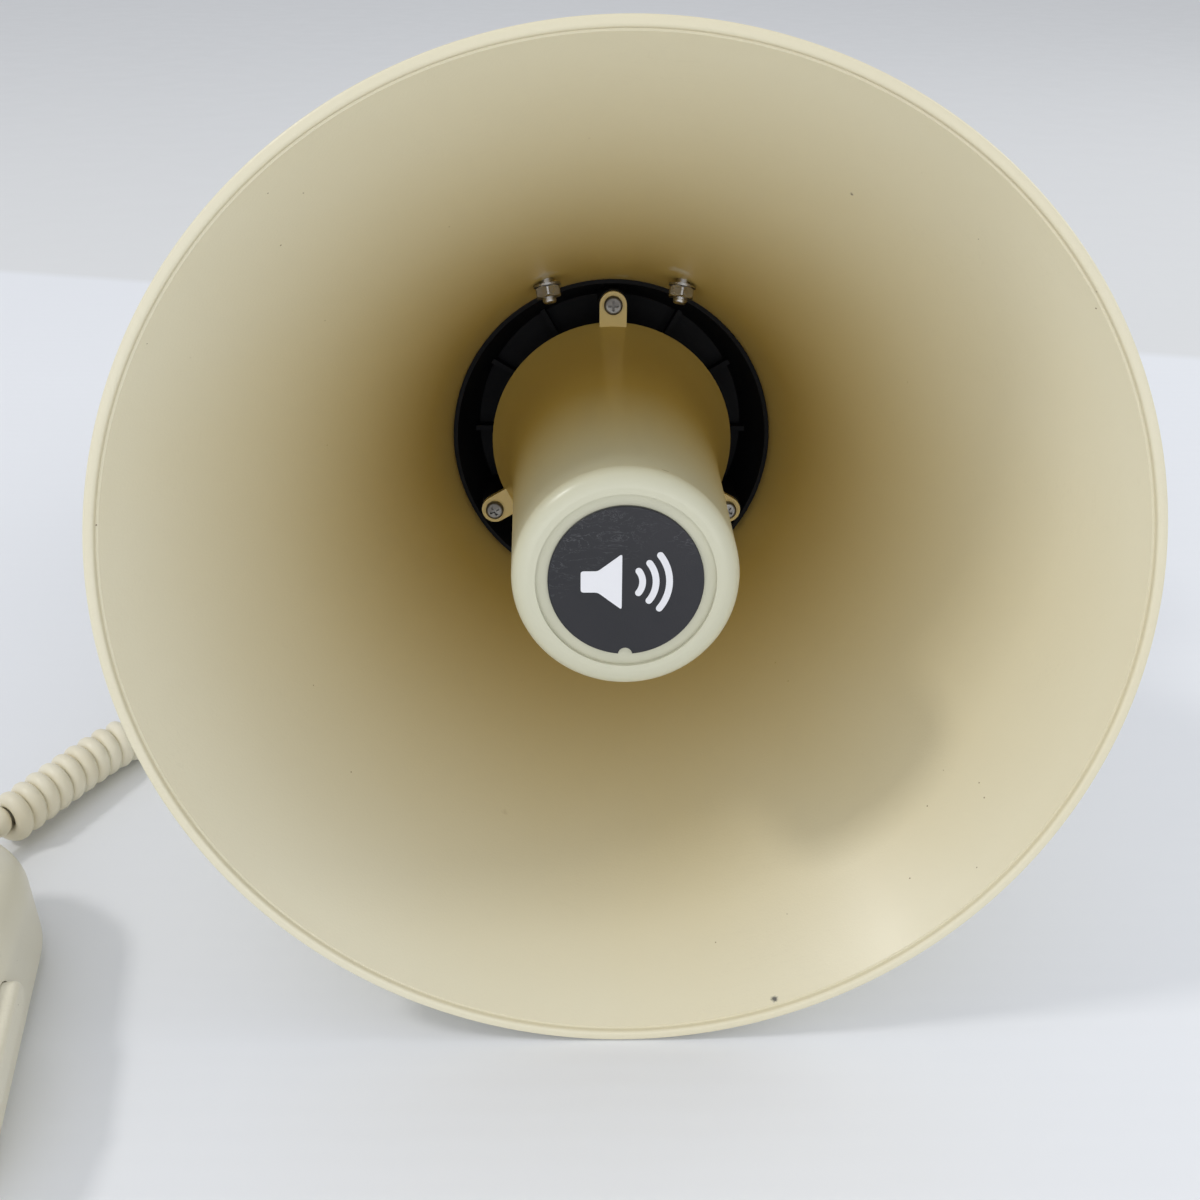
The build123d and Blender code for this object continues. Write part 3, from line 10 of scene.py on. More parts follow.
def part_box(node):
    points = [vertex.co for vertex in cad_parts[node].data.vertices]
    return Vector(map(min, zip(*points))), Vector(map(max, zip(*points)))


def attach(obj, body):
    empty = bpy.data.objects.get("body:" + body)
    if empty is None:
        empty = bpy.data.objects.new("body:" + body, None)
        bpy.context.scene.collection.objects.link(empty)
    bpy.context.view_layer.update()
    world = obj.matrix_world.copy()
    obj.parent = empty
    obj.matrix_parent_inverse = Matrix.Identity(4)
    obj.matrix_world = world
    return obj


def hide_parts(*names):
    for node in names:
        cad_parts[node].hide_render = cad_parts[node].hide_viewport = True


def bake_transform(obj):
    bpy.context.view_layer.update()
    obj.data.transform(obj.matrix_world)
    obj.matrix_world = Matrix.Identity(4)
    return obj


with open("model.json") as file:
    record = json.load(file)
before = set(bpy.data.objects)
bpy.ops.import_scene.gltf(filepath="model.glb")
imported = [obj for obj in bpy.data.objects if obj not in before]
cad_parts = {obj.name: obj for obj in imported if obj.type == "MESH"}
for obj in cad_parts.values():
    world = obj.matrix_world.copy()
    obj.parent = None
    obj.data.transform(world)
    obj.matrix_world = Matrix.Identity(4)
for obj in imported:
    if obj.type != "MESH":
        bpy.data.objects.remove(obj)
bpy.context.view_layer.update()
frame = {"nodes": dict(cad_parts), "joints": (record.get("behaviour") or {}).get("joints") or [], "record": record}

# A shoulder megaphone on a table, with its hand microphone on a curly cord. Metres throughout.
# The horn leans back, so its pieces are worked out along its own axes: right, aft and up.

joints = {joint["name"]: joint for joint in frame["joints"]}
right = np.array([1.0, 0.0, 0.0])
aft = np.array(joints["tray_slide"]["axis"], float)
aft /= np.linalg.norm(aft)
up = np.cross(right, aft)


def nodePoints(node):
    mesh = frame["nodes"][node].data
    points = np.empty(len(mesh.vertices) * 3)
    mesh.vertices.foreach_get("co", points)
    return points.reshape(-1, 3)


def boxMiddle(node):
    low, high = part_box(node)
    return (np.array(low) + np.array(high)) / 2


axisPoint = boxMiddle("driver_magnet")      # a ring round the axis, so its middle is on it
bellPoints = nodePoints("horn_bell")
mouth = axisPoint + aft * ((bellPoints - axisPoint) @ aft).min()
rimRadius = bellPoints[:, 0].max()


def hornPoint(x, y, z):
    # x to the right, y aft of the mouth and z up, square to the axis
    x, y, z = np.broadcast_arrays(x, y, z)
    return mouth + x[..., None] * right + y[..., None] * aft + z[..., None] * up


def alongHorn(node):
    reach = (nodePoints(node) - mouth) @ aft
    return reach.min(), reach.max()


print("frame loaded, rim radius", round(float(rimRadius), 4))

# ---- shared shader effects


def newGroup(name, inputs, outputs):
    # inputs and outputs are name: (socket type, default)
    tree = bpy.data.node_groups.new(name, "ShaderNodeTree")
    for direction, sockets in (("INPUT", inputs), ("OUTPUT", outputs)):
        for socketName, (kind, default) in sockets.items():
            socket = tree.interface.new_socket(socketName, in_out=direction, socket_type=kind)
            if default is not None:
                socket.default_value = default
    entry = tree.nodes.new("NodeGroupInput")
    leave = tree.nodes.new("NodeGroupOutput")
    return tree, entry.outputs, leave.inputs


def addNode(tree, kind, **settings):
    node = tree.nodes.new(kind)
    for key, value in settings.items():
        setattr(node, key, value)
    return node


def mathNode(tree, operation, a, b=None, clamp=False):
    node = addNode(tree, "ShaderNodeMath", operation=operation, use_clamp=clamp)
    for socket, value in zip(node.inputs, (a, b)):
        if isinstance(value, bpy.types.NodeSocket):
            tree.links.new(value, socket)
        elif value is not None:
            socket.default_value = value
    return node.outputs[0]


def rangeNode(tree, value, low, high, toLow=0.0, toHigh=1.0):
    node = addNode(tree, "ShaderNodeMapRange", clamp=True)
    tree.links.new(value, node.inputs["Value"])
    for name, number in (("From Min", low), ("From Max", high), ("To Min", toLow), ("To Max", toHigh)):
        if isinstance(number, bpy.types.NodeSocket):
            tree.links.new(number, node.inputs[name])
        else:
            node.inputs[name].default_value = number
    return node.outputs["Result"]


def mixNode(tree, factor, a, b):
    node = addNode(tree, "ShaderNodeMix", data_type="RGBA", clamp_factor=True)
    for socket, value in ((node.inputs[0], factor), (node.inputs[6], a), (node.inputs[7], b)):
        if isinstance(value, bpy.types.NodeSocket):
            tree.links.new(value, socket)
        else:
            socket.default_value = value
    return node.outputs[2]


def noiseNode(tree, vector, scale, detail=2.0, roughness=0.5, distortion=0.0):
    node = addNode(tree, "ShaderNodeTexNoise")
    tree.links.new(vector, node.inputs["Vector"])
    for name, number in (("Scale", scale), ("Detail", detail), ("Roughness", roughness), ("Distortion", distortion)):
        if isinstance(number, bpy.types.NodeSocket):
            tree.links.new(number, node.inputs[name])
        else:
            node.inputs[name].default_value = number
    return node.outputs["Fac"]


def makeGrain():
    # moulded skin: fine noise over a coarser orange peel
    tree, given, result = newGroup(
        "mouldGrain",
        {"Vector": ("NodeSocketVector", None), "Fine": ("NodeSocketFloat", 1800.0),
         "Coarse": ("NodeSocketFloat", 120.0), "Peel": ("NodeSocketFloat", 0.5)},
        {"Height": ("NodeSocketFloat", None)})
    fine = noiseNode(tree, given["Vector"], given["Fine"], 2.0, 0.6)
    coarse = noiseNode(tree, given["Vector"], given["Coarse"], 1.0)
    tree.links.new(mathNode(tree, "ADD", fine, mathNode(tree, "MULTIPLY", coarse, given["Peel"])), result["Height"])
    return tree


def makeAgeing():
    # broad patches drift from the fresh colour to the aged one
    tree, given, result = newGroup(
        "ageing",
        {"Vector": ("NodeSocketVector", None), "Fresh": ("NodeSocketColor", (1, 1, 1, 1)),
         "Aged": ("NodeSocketColor", (1, 1, 1, 1)), "Scale": ("NodeSocketFloat", 9.0),
         "Amount": ("NodeSocketFloat", 0.5)},
        {"Color": ("NodeSocketColor", None), "Mask": ("NodeSocketFloat", None)})
    broad = noiseNode(tree, given["Vector"], given["Scale"], 3.0, 0.55, 0.4)
    mask = rangeNode(tree, broad, 0.34, 0.66)
    tree.links.new(mixNode(tree, mathNode(tree, "MULTIPLY", mask, given["Amount"]), given["Fresh"], given["Aged"]),
                   result["Color"])
    tree.links.new(mask, result["Mask"])
    return tree


def makeSpecks():
    # small scattered dots where the distance to a random point is short
    tree, given, result = newGroup(
        "specks",
        {"Vector": ("NodeSocketVector", None), "Scale": ("NodeSocketFloat", 300.0),
         "Size": ("NodeSocketFloat", 0.12)},
        {"Mask": ("NodeSocketFloat", None)})
    dots = addNode(tree, "ShaderNodeTexVoronoi")
    tree.links.new(given["Vector"], dots.inputs["Vector"])
    tree.links.new(given["Scale"], dots.inputs["Scale"])
    near = mathNode(tree, "LESS_THAN", dots.outputs["Distance"], given["Size"])
    sparse = mathNode(tree, "GREATER_THAN", noiseNode(tree, given["Vector"], 40.0, 2.0), 0.57)
    tree.links.new(mathNode(tree, "MULTIPLY", near, sparse), result["Mask"])
    return tree


def makeScuffs():
    # thin rubbed lines: the middle of a stretched noise, kept in a few patches
    tree, given, result = newGroup(
        "scuffs",
        {"Vector": ("NodeSocketVector", None), "Scale": ("NodeSocketFloat", 60.0),
         "Amount": ("NodeSocketFloat", 0.5)},
        {"Mask": ("NodeSocketFloat", None)})
    stretch = addNode(tree, "ShaderNodeMapping")
    stretch.inputs["Scale"].default_value = (1.0, 9.0, 2.2)
    stretch.inputs["Rotation"].default_value = (0.3, 0.7, 0.5)
    tree.links.new(given["Vector"], stretch.inputs["Vector"])
    streak = noiseNode(tree, stretch.outputs["Vector"], given["Scale"], 4.0, 0.6, 1.2)
    off = mathNode(tree, "ABSOLUTE", mathNode(tree, "SUBTRACT", streak, 0.5))
    line = rangeNode(tree, off, 0.0, 0.012, 1.0, 0.0)
    patch = rangeNode(tree, noiseNode(tree, given["Vector"], 26.0, 2.0), 0.52, 0.66)
    tree.links.new(mathNode(tree, "MULTIPLY", mathNode(tree, "MULTIPLY", line, patch), given["Amount"]),
                   result["Mask"])
    return tree


def makeDepth():
    # how far down the horn a point is, from nothing at Near to one at Far
    tree, given, result = newGroup(
        "hornDepth",
        {"Vector": ("NodeSocketVector", None), "Near": ("NodeSocketFloat", 0.0), "Far": ("NodeSocketFloat", 0.1)},
        {"Mask": ("NodeSocketFloat", None)})
    along = addNode(tree, "ShaderNodeVectorMath", operation="DOT_PRODUCT")
    tree.links.new(given["Vector"], along.inputs[0])
    along.inputs[1].default_value = tuple(aft)
    depth = mathNode(tree, "SUBTRACT", along.outputs["Value"], float(mouth @ aft))
    tree.links.new(rangeNode(tree, depth, given["Near"], given["Far"]), result["Mask"])
    return tree


grainGroup = makeGrain()
depthGroup = makeDepth()
ageingGroup = makeAgeing()
specksGroup = makeSpecks()
scuffsGroup = makeScuffs()


class Finish:
    # one material being built: its tree, its shader and its Object coordinates
    def __init__(self, name):
        self.material = bpy.data.materials.new(name)
        self.material.use_nodes = True
        self.tree = self.material.node_tree
        self.shader = self.tree.nodes["Principled BSDF"]
        self.place = self.tree.nodes.new("ShaderNodeTexCoord").outputs["Object"]

    def group(self, tree, **values):
        node = self.tree.nodes.new("ShaderNodeGroup")
        node.node_tree = tree
        self.tree.links.new(self.place, node.inputs["Vector"])
        for name, value in values.items():
            node.inputs[name].default_value = value
        return node.outputs

    def feed(self, socketName, value):
        self.tree.links.new(value, self.shader.inputs[socketName])

    def bump(self, height, strength, distance):
        node = addNode(self.tree, "ShaderNodeBump")
        node.inputs["Strength"].default_value = strength
        node.inputs["Distance"].default_value = distance
        self.tree.links.new(height, node.inputs["Height"])
        self.feed("Normal", node.outputs["Normal"])

    def plain(self, **values):
        for name, value in values.items():
            self.shader.inputs[name.replace("_", " ")].default_value = value


def rgb(red, green, blue):
    return (red, green, blue, 1.0)


def agedPlastic(name, values):
    # moulded plastic: patchy colour, scuffs, dust, orange peel; where given, painted shade down the horn and spots, the
    # pale ones painted highlights
    finish = Finish(name)
    tree = finish.tree
    aged = finish.group(ageingGroup, Fresh=values["fresh"], Aged=values["aged"], Scale=values["patches"],
                        Amount=values["ageAmount"])
    scuffs = finish.group(scuffsGroup, Scale=values["scuffScale"], Amount=values["scuffs"])
    specks = finish.group(specksGroup, Scale=values["speckScale"], Size=values["speckSize"])
    colour = mixNode(tree, scuffs["Mask"], aged["Color"], values["scuffColour"])
    colour = mixNode(tree, specks["Mask"], colour, values["speckColour"])
    # painted shade down the horn, darkest at the throat
    if "throat" in values:
        colour = paintThroatShade(finish, colour, values["throat"])
    for mark in values.get("marks", ()):
        colour = addMark(tree, finish.place, colour, mark)
    finish.feed("Base Color", colour)
    worn = rangeNode(tree, noiseNode(tree, finish.place, values["patches"] * 4, 3.0), 0.3, 0.7,
                     values["roughness"][0], values["roughness"][1])
    finish.feed("Roughness", mathNode(tree, "ADD", worn, mathNode(tree, "MULTIPLY", scuffs["Mask"], 0.2)))
    grain = finish.group(grainGroup, Fine=values["fine"], Coarse=values["coarse"], Peel=values["peel"])
    finish.bump(grain["Height"], values["bump"], values["bumpDepth"])
    finish.plain(Specular_IOR_Level=values["specular"], Coat_Weight=values["coat"],
                 Coat_Roughness=values["coatRoughness"])
    return finish.material


def paintThroatShade(finish, colour, throat):
    # painted shade: the colour darkens and browns steadily down the horn towards the throat, standing in for the shade
    # there
    tree = finish.tree
    amount = mathNode(tree, "MULTIPLY", finish.group(depthGroup, Near=throat["near"], Far=throat["far"])["Mask"],
                      throat["amount"])
    if throat["insideOnly"]:
        inside = addNode(tree, "ShaderNodeAttribute", attribute_name="inside")
        amount = mathNode(tree, "MULTIPLY", amount, inside.outputs["Fac"])
    return mixNode(tree, amount, colour, throat["colour"])


def bellInner(y):
    # the inside radius: the neck's, times e to a power that grows steadily towards the mouth
    mouthRadius = rimRadius - bell["lipWidth"] - bell["stepWidth"]
    growth = math.log(mouthRadius / bell["neckBore"]) / (bell["flareLength"] - bell["lipStep"])
    return bell["neckBore"] * np.exp(growth * (bell["flareLength"] - y)), growth


def addMark(tree, place, colour, mark):
    # one ragged spot on the inside of the bell: the dark spots are specks and a scratch, the pale spots deep in the
    # horn are painted highlights
    turn = math.radians(mark["around"])
    radius = float(bellInner(mark["depth"])[0])
    at = hornPoint(radius * math.sin(turn), mark["depth"], radius * math.cos(turn))
    away = addNode(tree, "ShaderNodeVectorMath", operation="DISTANCE")
    tree.links.new(place, away.inputs[0])
    away.inputs[1].default_value = tuple(at)
    rough = mathNode(tree, "MULTIPLY", noiseNode(tree, place, mark["raggedness"], 3.0), mark["radius"] * 1.6)
    mask = rangeNode(tree, mathNode(tree, "ADD", away.outputs["Value"], rough),
                     mark["radius"] * 1.0, mark["radius"] * 1.7, mark["strength"], 0.0)
    return mixNode(tree, mask, colour, mark["colour"])


def metal(name, values):
    # plated or bare metal: cloudy roughness with fine turning marks
    finish = Finish(name)
    tree = finish.tree
    aged = finish.group(ageingGroup, Fresh=values["fresh"], Aged=values["aged"], Scale=values["patches"],
                        Amount=values["ageAmount"])
    scuffs = finish.group(scuffsGroup, Scale=values["scuffScale"], Amount=values["scuffs"])
    finish.feed("Base Color", mixNode(tree, scuffs["Mask"], aged["Color"], values["scuffColour"]))
    finish.feed("Roughness", rangeNode(tree, aged["Mask"], 0.0, 1.0, values["roughness"][0], values["roughness"][1]))
    grain = finish.group(grainGroup, Fine=values["fine"], Coarse=values["coarse"], Peel=0.6)
    finish.bump(grain["Height"], values["bump"], values["bumpDepth"])
    finish.plain(Metallic=1.0)
    return finish.material


# ---- camera, light and table

camera = {
    "place": (-0.01087, -0.5243, 0.25409),
    "looks": (0.01755, 0.86293, -0.50501),
    "up": (0.0, 0.50509, 0.86307),
    "lens": 39.0,
}

lights = {
    "window": {"from": (-0.69, -0.10, 0.72), "distance": 1.9, "size": (0.22, 0.28),
               "power": 8.0, "colour": (1.0, 0.985, 0.96)},
    "ceiling": {"from": (-0.10, 0.16, 1.0), "distance": 2.2, "size": (1.6, 1.1),
                "power": 3, "colour": (0.97, 0.985, 1.0)},
    "right": {"from": (0.85, 0.25, 0.50), "distance": 1.8, "size": (1.2, 1.0), "power": 8, "colour": (0.96, 0.98, 1.0)},
    "low": {"from": (0.0, -1.0, 0.06), "distance": 1.1, "size": (1.3, 0.20),
            "power": 1.6, "colour": (1.0, 0.985, 0.95)},
}

room = {
    "brightSide": (0.0, -0.985, -0.17),
    "around": (0.60, 0.615, 0.65, 1.0), "ahead": (1.22, 1.26, 1.34, 1.0), "turn": (0.36, 0.86),
    "onlooker": (0.55, 0.55, 0.58, 1.0), "onlookerReach": (0.965, 0.995), "backdrop": (0.64, 0.65, 0.64, 1.0),
    "strength": 1.0,
}

table = {
    "size": 6.0,
    "top": (0.82, 0.835, 0.86, 1.0),
    "beyond": (0.74, 0.745, 0.74, 1.0),
    "edgeAway": 0.2546,
    "edgeTurn": -12.3,
}


def lookAlong(obj, place, looks, upward):
    forward = Vector(looks).normalized()
    side = forward.cross(Vector(upward)).normalized()
    upright = side.cross(forward)
    rotation = Matrix((side, upright, -forward)).transposed()
    obj.matrix_world = Matrix.Translation(place) @ rotation.to_4x4()


def makeCamera():
    data = bpy.data.cameras.new("camera")
    data.sensor_width = 36.0
    data.lens = camera["lens"]
    data.clip_start = 0.01
    obj = bpy.data.objects.new("camera", data)
    bpy.context.collection.objects.link(obj)
    lookAlong(obj, camera["place"], camera["looks"], camera["up"])
    bpy.context.scene.camera = obj


def makeLight(name, values):
    data = bpy.data.lights.new(name, "AREA")
    data.shape = "RECTANGLE"
    data.size, data.size_y = values["size"]
    data.energy = values["power"]
    data.color = values["colour"]
    obj = bpy.data.objects.new(name, data)
    bpy.context.collection.objects.link(obj)
    direction = Vector(values["from"]).normalized()
    upward = (0, 0, 1) if abs(direction.z) < 0.7 else (0, 1, 0)
    lookAlong(obj, direction * values["distance"] + Vector((0, -0.25, 0.10)), -direction, upward)


def makeRoom():
    # a pale room, brightest in front of the mouth except straight ahead, where the onlooker stands
    world = bpy.data.worlds.new("room")
    world.use_nodes = True
    tree = world.node_tree
    direction = addNode(tree, "ShaderNodeTexCoord").outputs["Generated"]
    toward = addNode(tree, "ShaderNodeVectorMath", operation="DOT_PRODUCT")
    tree.links.new(direction, toward.inputs[0])
    toward.inputs[1].default_value = room["brightSide"]
    ahead = rangeNode(tree, toward.outputs["Value"], *room["turn"])
    blocked = rangeNode(tree, toward.outputs["Value"], *room["onlookerReach"])
    walls = mixNode(tree, ahead, room["around"], room["ahead"])
    lit = mixNode(tree, blocked, walls, room["onlooker"])
    seen = addNode(tree, "ShaderNodeLightPath").outputs["Is Camera Ray"]
    background = tree.nodes["Background"]
    tree.links.new(mixNode(tree, seen, lit, room["backdrop"]), background.inputs["Color"])
    background.inputs["Strength"].default_value = room["strength"]
    bpy.context.scene.world = world


makeCamera()
for lightName, lightValues in lights.items():
    makeLight(lightName, lightValues)
makeRoom()
bpy.context.scene.view_settings.view_transform = "Standard"
print("camera and lights placed")

# ---- finishes

bell = {
    "neckBore": 0.050, "neckLength": 0.0155, "flareLength": 0.143, "wall": 0.0024,
    "lipWidth": 0.0025, "stepWidth": 0.0005, "lipStep": 0.0016, "beadLength": 0.005, "beadDraft": 0.0009,
    "soft": 0.0009, "stepSoft": 0.0002, "beadSoft": 0.0004, "beadGap": 0.001,
    "insideRings": 56, "outsideRings": 50, "around": 360,
}

creamPlastic = {
    "fresh": rgb(0.745, 0.695, 0.520), "aged": rgb(0.715, 0.645, 0.440), "patches": 7.0, "ageAmount": 0.55,
    "roughness": (0.36, 0.46), "specular": 0.5, "coat": 0.10, "coatRoughness": 0.22,
    "scuffs": 0.10, "scuffScale": 45.0, "scuffColour": rgb(0.50, 0.44, 0.31),
    "speckScale": 170.0, "speckSize": 0.035, "speckColour": rgb(0.30, 0.24, 0.15),
    "fine": 1500.0, "coarse": 160.0, "peel": 0.7, "bump": 0.10, "bumpDepth": 0.0003,
}

bellPlastic = dict(
    creamPlastic,
    # painted shade: the inside darkens and browns towards the throat
    throat={"near": 0.006, "far": 0.124, "amount": 0.94, "colour": rgb(0.51, 0.365, 0.090), "insideOnly": True},
    marks=[
        {"around": 160.4, "depth": 0.0026, "radius": 0.0011, "raggedness": 1400.0,
         "strength": 0.9, "colour": rgb(0.05, 0.05, 0.05)},
        {"around": 30.4, "depth": 0.031, "radius": 0.0006, "raggedness": 1400.0,
         "strength": 0.9, "colour": rgb(0.10, 0.08, 0.06)},
        {"around": -159.1, "depth": 0.0495, "radius": 0.0012, "raggedness": 700.0,
         "strength": 0.3, "colour": rgb(0.40, 0.28, 0.13)},
        # the three pale patches deep in the horn are painted highlights, lighter than the painted shade round them
        {"around": -20.3, "depth": 0.118, "radius": 0.0040, "raggedness": 420.0,
         "strength": 0.5, "colour": rgb(0.62, 0.60, 0.50)},
        {"around": 17.3, "depth": 0.115, "radius": 0.0042, "raggedness": 420.0,
         "strength": 0.6, "colour": rgb(0.64, 0.62, 0.52)},
        {"around": 3.0, "depth": 0.137, "radius": 0.0030, "raggedness": 500.0,
         "strength": 0.4, "colour": rgb(0.60, 0.56, 0.44)},
    ])

reflectorPlastic = dict(
    creamPlastic, fresh=rgb(0.58, 0.57, 0.43), aged=rgb(0.565, 0.54, 0.39), roughness=(0.27, 0.34), coat=0.08,
    coatRoughness=0.30, scuffs=0.0, speckSize=0.0, peel=0.1, bump=0.04,
    # painted shade: the reflector darkens and browns down into the horn
    throat={"near": 0.020, "far": 0.090, "amount": 0.94, "colour": rgb(0.54, 0.385, 0.085), "insideOnly": False})

micPlastic = dict(creamPlastic, fresh=rgb(0.76, 0.73, 0.60), aged=rgb(0.72, 0.66, 0.49), roughness=(0.30, 0.42),
                  scuffs=0.2, scuffScale=80.0)

blackPlastic = {
    "fresh": rgb(0.010, 0.010, 0.012), "aged": rgb(0.020, 0.020, 0.022), "patches": 12.0, "ageAmount": 0.7,
    "roughness": (0.34, 0.52), "specular": 0.5, "coat": 0.0, "coatRoughness": 0.3,
    "scuffs": 0.25, "scuffScale": 70.0, "scuffColour": rgb(0.09, 0.09, 0.09),
    "speckScale": 260.0, "speckSize": 0.07, "speckColour": rgb(0.16, 0.15, 0.13),
    "fine": 2200.0, "coarse": 300.0, "peel": 0.4, "bump": 0.18, "bumpDepth": 0.0003,
}

sparkedPlastic = dict(blackPlastic, fresh=rgb(0.022, 0.022, 0.024), aged=rgb(0.036, 0.036, 0.037),
                      roughness=(0.50, 0.66), fine=1100.0, coarse=520.0, peel=1.0, bump=0.5, bumpDepth=0.0005)

badgeFilm = dict(blackPlastic, fresh=rgb(0.010, 0.011, 0.014), aged=rgb(0.022, 0.021, 0.026), specular=0.32,
                 roughness=(0.26, 0.40),
                 scuffs=0.5, scuffScale=130.0, scuffColour=rgb(0.16, 0.16, 0.17), bump=0.08)

throatPlastic = dict(blackPlastic, fresh=rgb(0.004, 0.004, 0.005), aged=rgb(0.007, 0.007, 0.007), roughness=(0.6, 0.75),
                     specular=0.15, scuffs=0.05, speckColour=rgb(0.02, 0.02, 0.02))

rubberSkin = dict(blackPlastic, fresh=rgb(0.020, 0.020, 0.020), aged=rgb(0.045, 0.044, 0.042), roughness=(0.70, 0.86),
                  specular=0.3, scuffs=0.3, bump=0.4, bumpDepth=0.0005)

cordVinyl = dict(creamPlastic, fresh=rgb(0.84, 0.80, 0.65), aged=rgb(0.73, 0.65, 0.46), patches=28.0,
                 ageAmount=0.8, roughness=(0.38, 0.52), coat=0.05, scuffs=0.15, scuffScale=120.0)

boardResin = dict(blackPlastic, fresh=rgb(0.03, 0.19, 0.08), aged=rgb(0.05, 0.24, 0.10), roughness=(0.28, 0.4))
resinCloth = dict(blackPlastic, fresh=rgb(0.36, 0.18, 0.06), aged=rgb(0.28, 0.13, 0.04), fine=900.0, bump=0.5)
sleeveBlue = dict(blackPlastic, fresh=rgb(0.02, 0.035, 0.12), aged=rgb(0.03, 0.05, 0.15), roughness=(0.2, 0.3))
ferriteGrey = dict(blackPlastic, fresh=rgb(0.06, 0.06, 0.065), aged=rgb(0.10, 0.10, 0.11), roughness=(0.5, 0.7))
lampLens = dict(blackPlastic, fresh=rgb(0.42, 0.012, 0.010), aged=rgb(0.50, 0.02, 0.015), roughness=(0.08, 0.14),
                scuffs=0.05, coat=0.5, coatRoughness=0.05, bump=0.02)
cellJacket = dict(blackPlastic, fresh=rgb(0.04, 0.09, 0.22), aged=rgb(0.06, 0.12, 0.27), roughness=(0.2, 0.32),
                  coat=0.3)

zincPlate = {
    "fresh": rgb(0.46, 0.45, 0.43), "aged": rgb(0.27, 0.25, 0.225), "patches": 160.0, "ageAmount": 0.8,
    "roughness": (0.20, 0.42), "scuffs": 0.4, "scuffScale": 260.0, "scuffColour": rgb(0.25, 0.23, 0.20),
    "fine": 2600.0, "coarse": 700.0, "bump": 0.22, "bumpDepth": 0.0002,
}
dullZinc = dict(zincPlate, fresh=rgb(0.24, 0.235, 0.22), aged=rgb(0.13, 0.12, 0.11), roughness=(0.34, 0.52))
turnedBrass = dict(zincPlate, fresh=rgb(0.78, 0.60, 0.27), aged=rgb(0.55, 0.40, 0.17))
copperWire = dict(zincPlate, fresh=rgb(0.72, 0.34, 0.18), aged=rgb(0.50, 0.20, 0.10))
plainAluminium = dict(zincPlate, fresh=rgb(0.80, 0.80, 0.81), aged=rgb(0.64, 0.64, 0.65), roughness=(0.28, 0.44))
laminations = dict(zincPlate, fresh=rgb(0.30, 0.26, 0.22), aged=rgb(0.18, 0.15, 0.12), roughness=(0.45, 0.6))
nickelPlate = dict(zincPlate, fresh=rgb(0.72, 0.69, 0.62), aged=rgb(0.55, 0.52, 0.46))

finishes = {
    "bell_plastic": agedPlastic("creamPlastic", creamPlastic),
    "badge": agedPlastic("badgeFilm", badgeFilm),
    "plated_steel": metal("zincPlate", zincPlate),
    "black_plastic": agedPlastic("blackPlastic", blackPlastic),
    "case_plastic": agedPlastic("sparkedPlastic", sparkedPlastic),
    "rubber": agedPlastic("rubberSkin", rubberSkin),
    "diaphragm_resin": agedPlastic("resinCloth", resinCloth),
    "copper": metal("copperWire", copperWire),
    "ferrite": agedPlastic("ferriteGrey", ferriteGrey),
    "board_laminate": agedPlastic("boardResin", boardResin),
    "standoff_brass": metal("turnedBrass", turnedBrass),
    "transformer_iron": metal("laminations", laminations),
    "capacitor_sleeve": agedPlastic("sleeveBlue", sleeveBlue),
    "bare_aluminium": metal("plainAluminium", plainAluminium),
    "cell_jacket": agedPlastic("cellJacket", cellJacket),
    "contact_nickel": metal("nickelPlate", nickelPlate),
    "lamp_red": agedPlastic("lampLens", lampLens),
    "mic_plastic": agedPlastic("micPlastic", micPlastic),
    "cord_vinyl": agedPlastic("cordVinyl", cordVinyl),
}
bellFinish = agedPlastic("bellPlastic", bellPlastic)
ownFinishes = {
    "reflector_horn": agedPlastic("reflectorPlastic", reflectorPlastic),
    "throat_bulkhead": agedPlastic("throatPlastic", throatPlastic),
    "reflector_screws": metal("dullZinc", dullZinc),
}

whiteInk = agedPlastic("whiteInk", dict(badgeFilm, fresh=rgb(0.80, 0.80, 0.82), aged=rgb(0.70, 0.70, 0.72),
                                        scuffColour=rgb(0.5, 0.48, 0.47), speckColour=rgb(0.35, 0.33, 0.32)))

nodeSlots = {part["node"]: part["material_slot"] for part in frame["record"]["subparts"]}
for nodeName, obj in frame["nodes"].items():
    for materialSlot in obj.material_slots:
        materialSlot.material = ownFinishes.get(nodeName, finishes[nodeSlots[nodeName]])
print("finishes made:", len(finishes) + len(ownFinishes) + 2)

# ---- meshes from grids


def gridFaces(rows, columns, closeRows=False, closeColumns=True):
    # the four corners of every cell of a rows by columns grid
    down = np.arange(rows if closeRows else rows - 1)
    across = np.arange(columns if closeColumns else columns - 1)
    i, j = np.meshgrid(down, across, indexing="ij")
    nextI, nextJ = (i + 1) % rows, (j + 1) % columns
    corners = [i * columns + j, i * columns + nextJ, nextI * columns + nextJ, nextI * columns + j]
    return np.stack(corners, -1).reshape(-1, 4)


def makePiece(name, points, faces, material, body, sharp=38.0):
    mesh = bpy.data.meshes.new(name)
    mesh.from_pydata(np.asarray(points).reshape(-1, 3).tolist(), [], [list(map(int, face)) for face in faces])
    shape = bmesh.new()
    shape.from_mesh(mesh)
    bmesh.ops.remove_doubles(shape, verts=shape.verts, dist=1e-6)
    bmesh.ops.recalc_face_normals(shape, faces=shape.faces)
    shape.to_mesh(mesh)
    shape.free()
    mesh.polygons.foreach_set("use_smooth", np.ones(len(mesh.polygons), bool))
    mesh.set_sharp_from_angle(angle=math.radians(sharp))
    mesh.materials.append(material)
    obj = bpy.data.objects.new(name, mesh)
    bpy.context.collection.objects.link(obj)
    if body:
        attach(obj, body)
    return obj


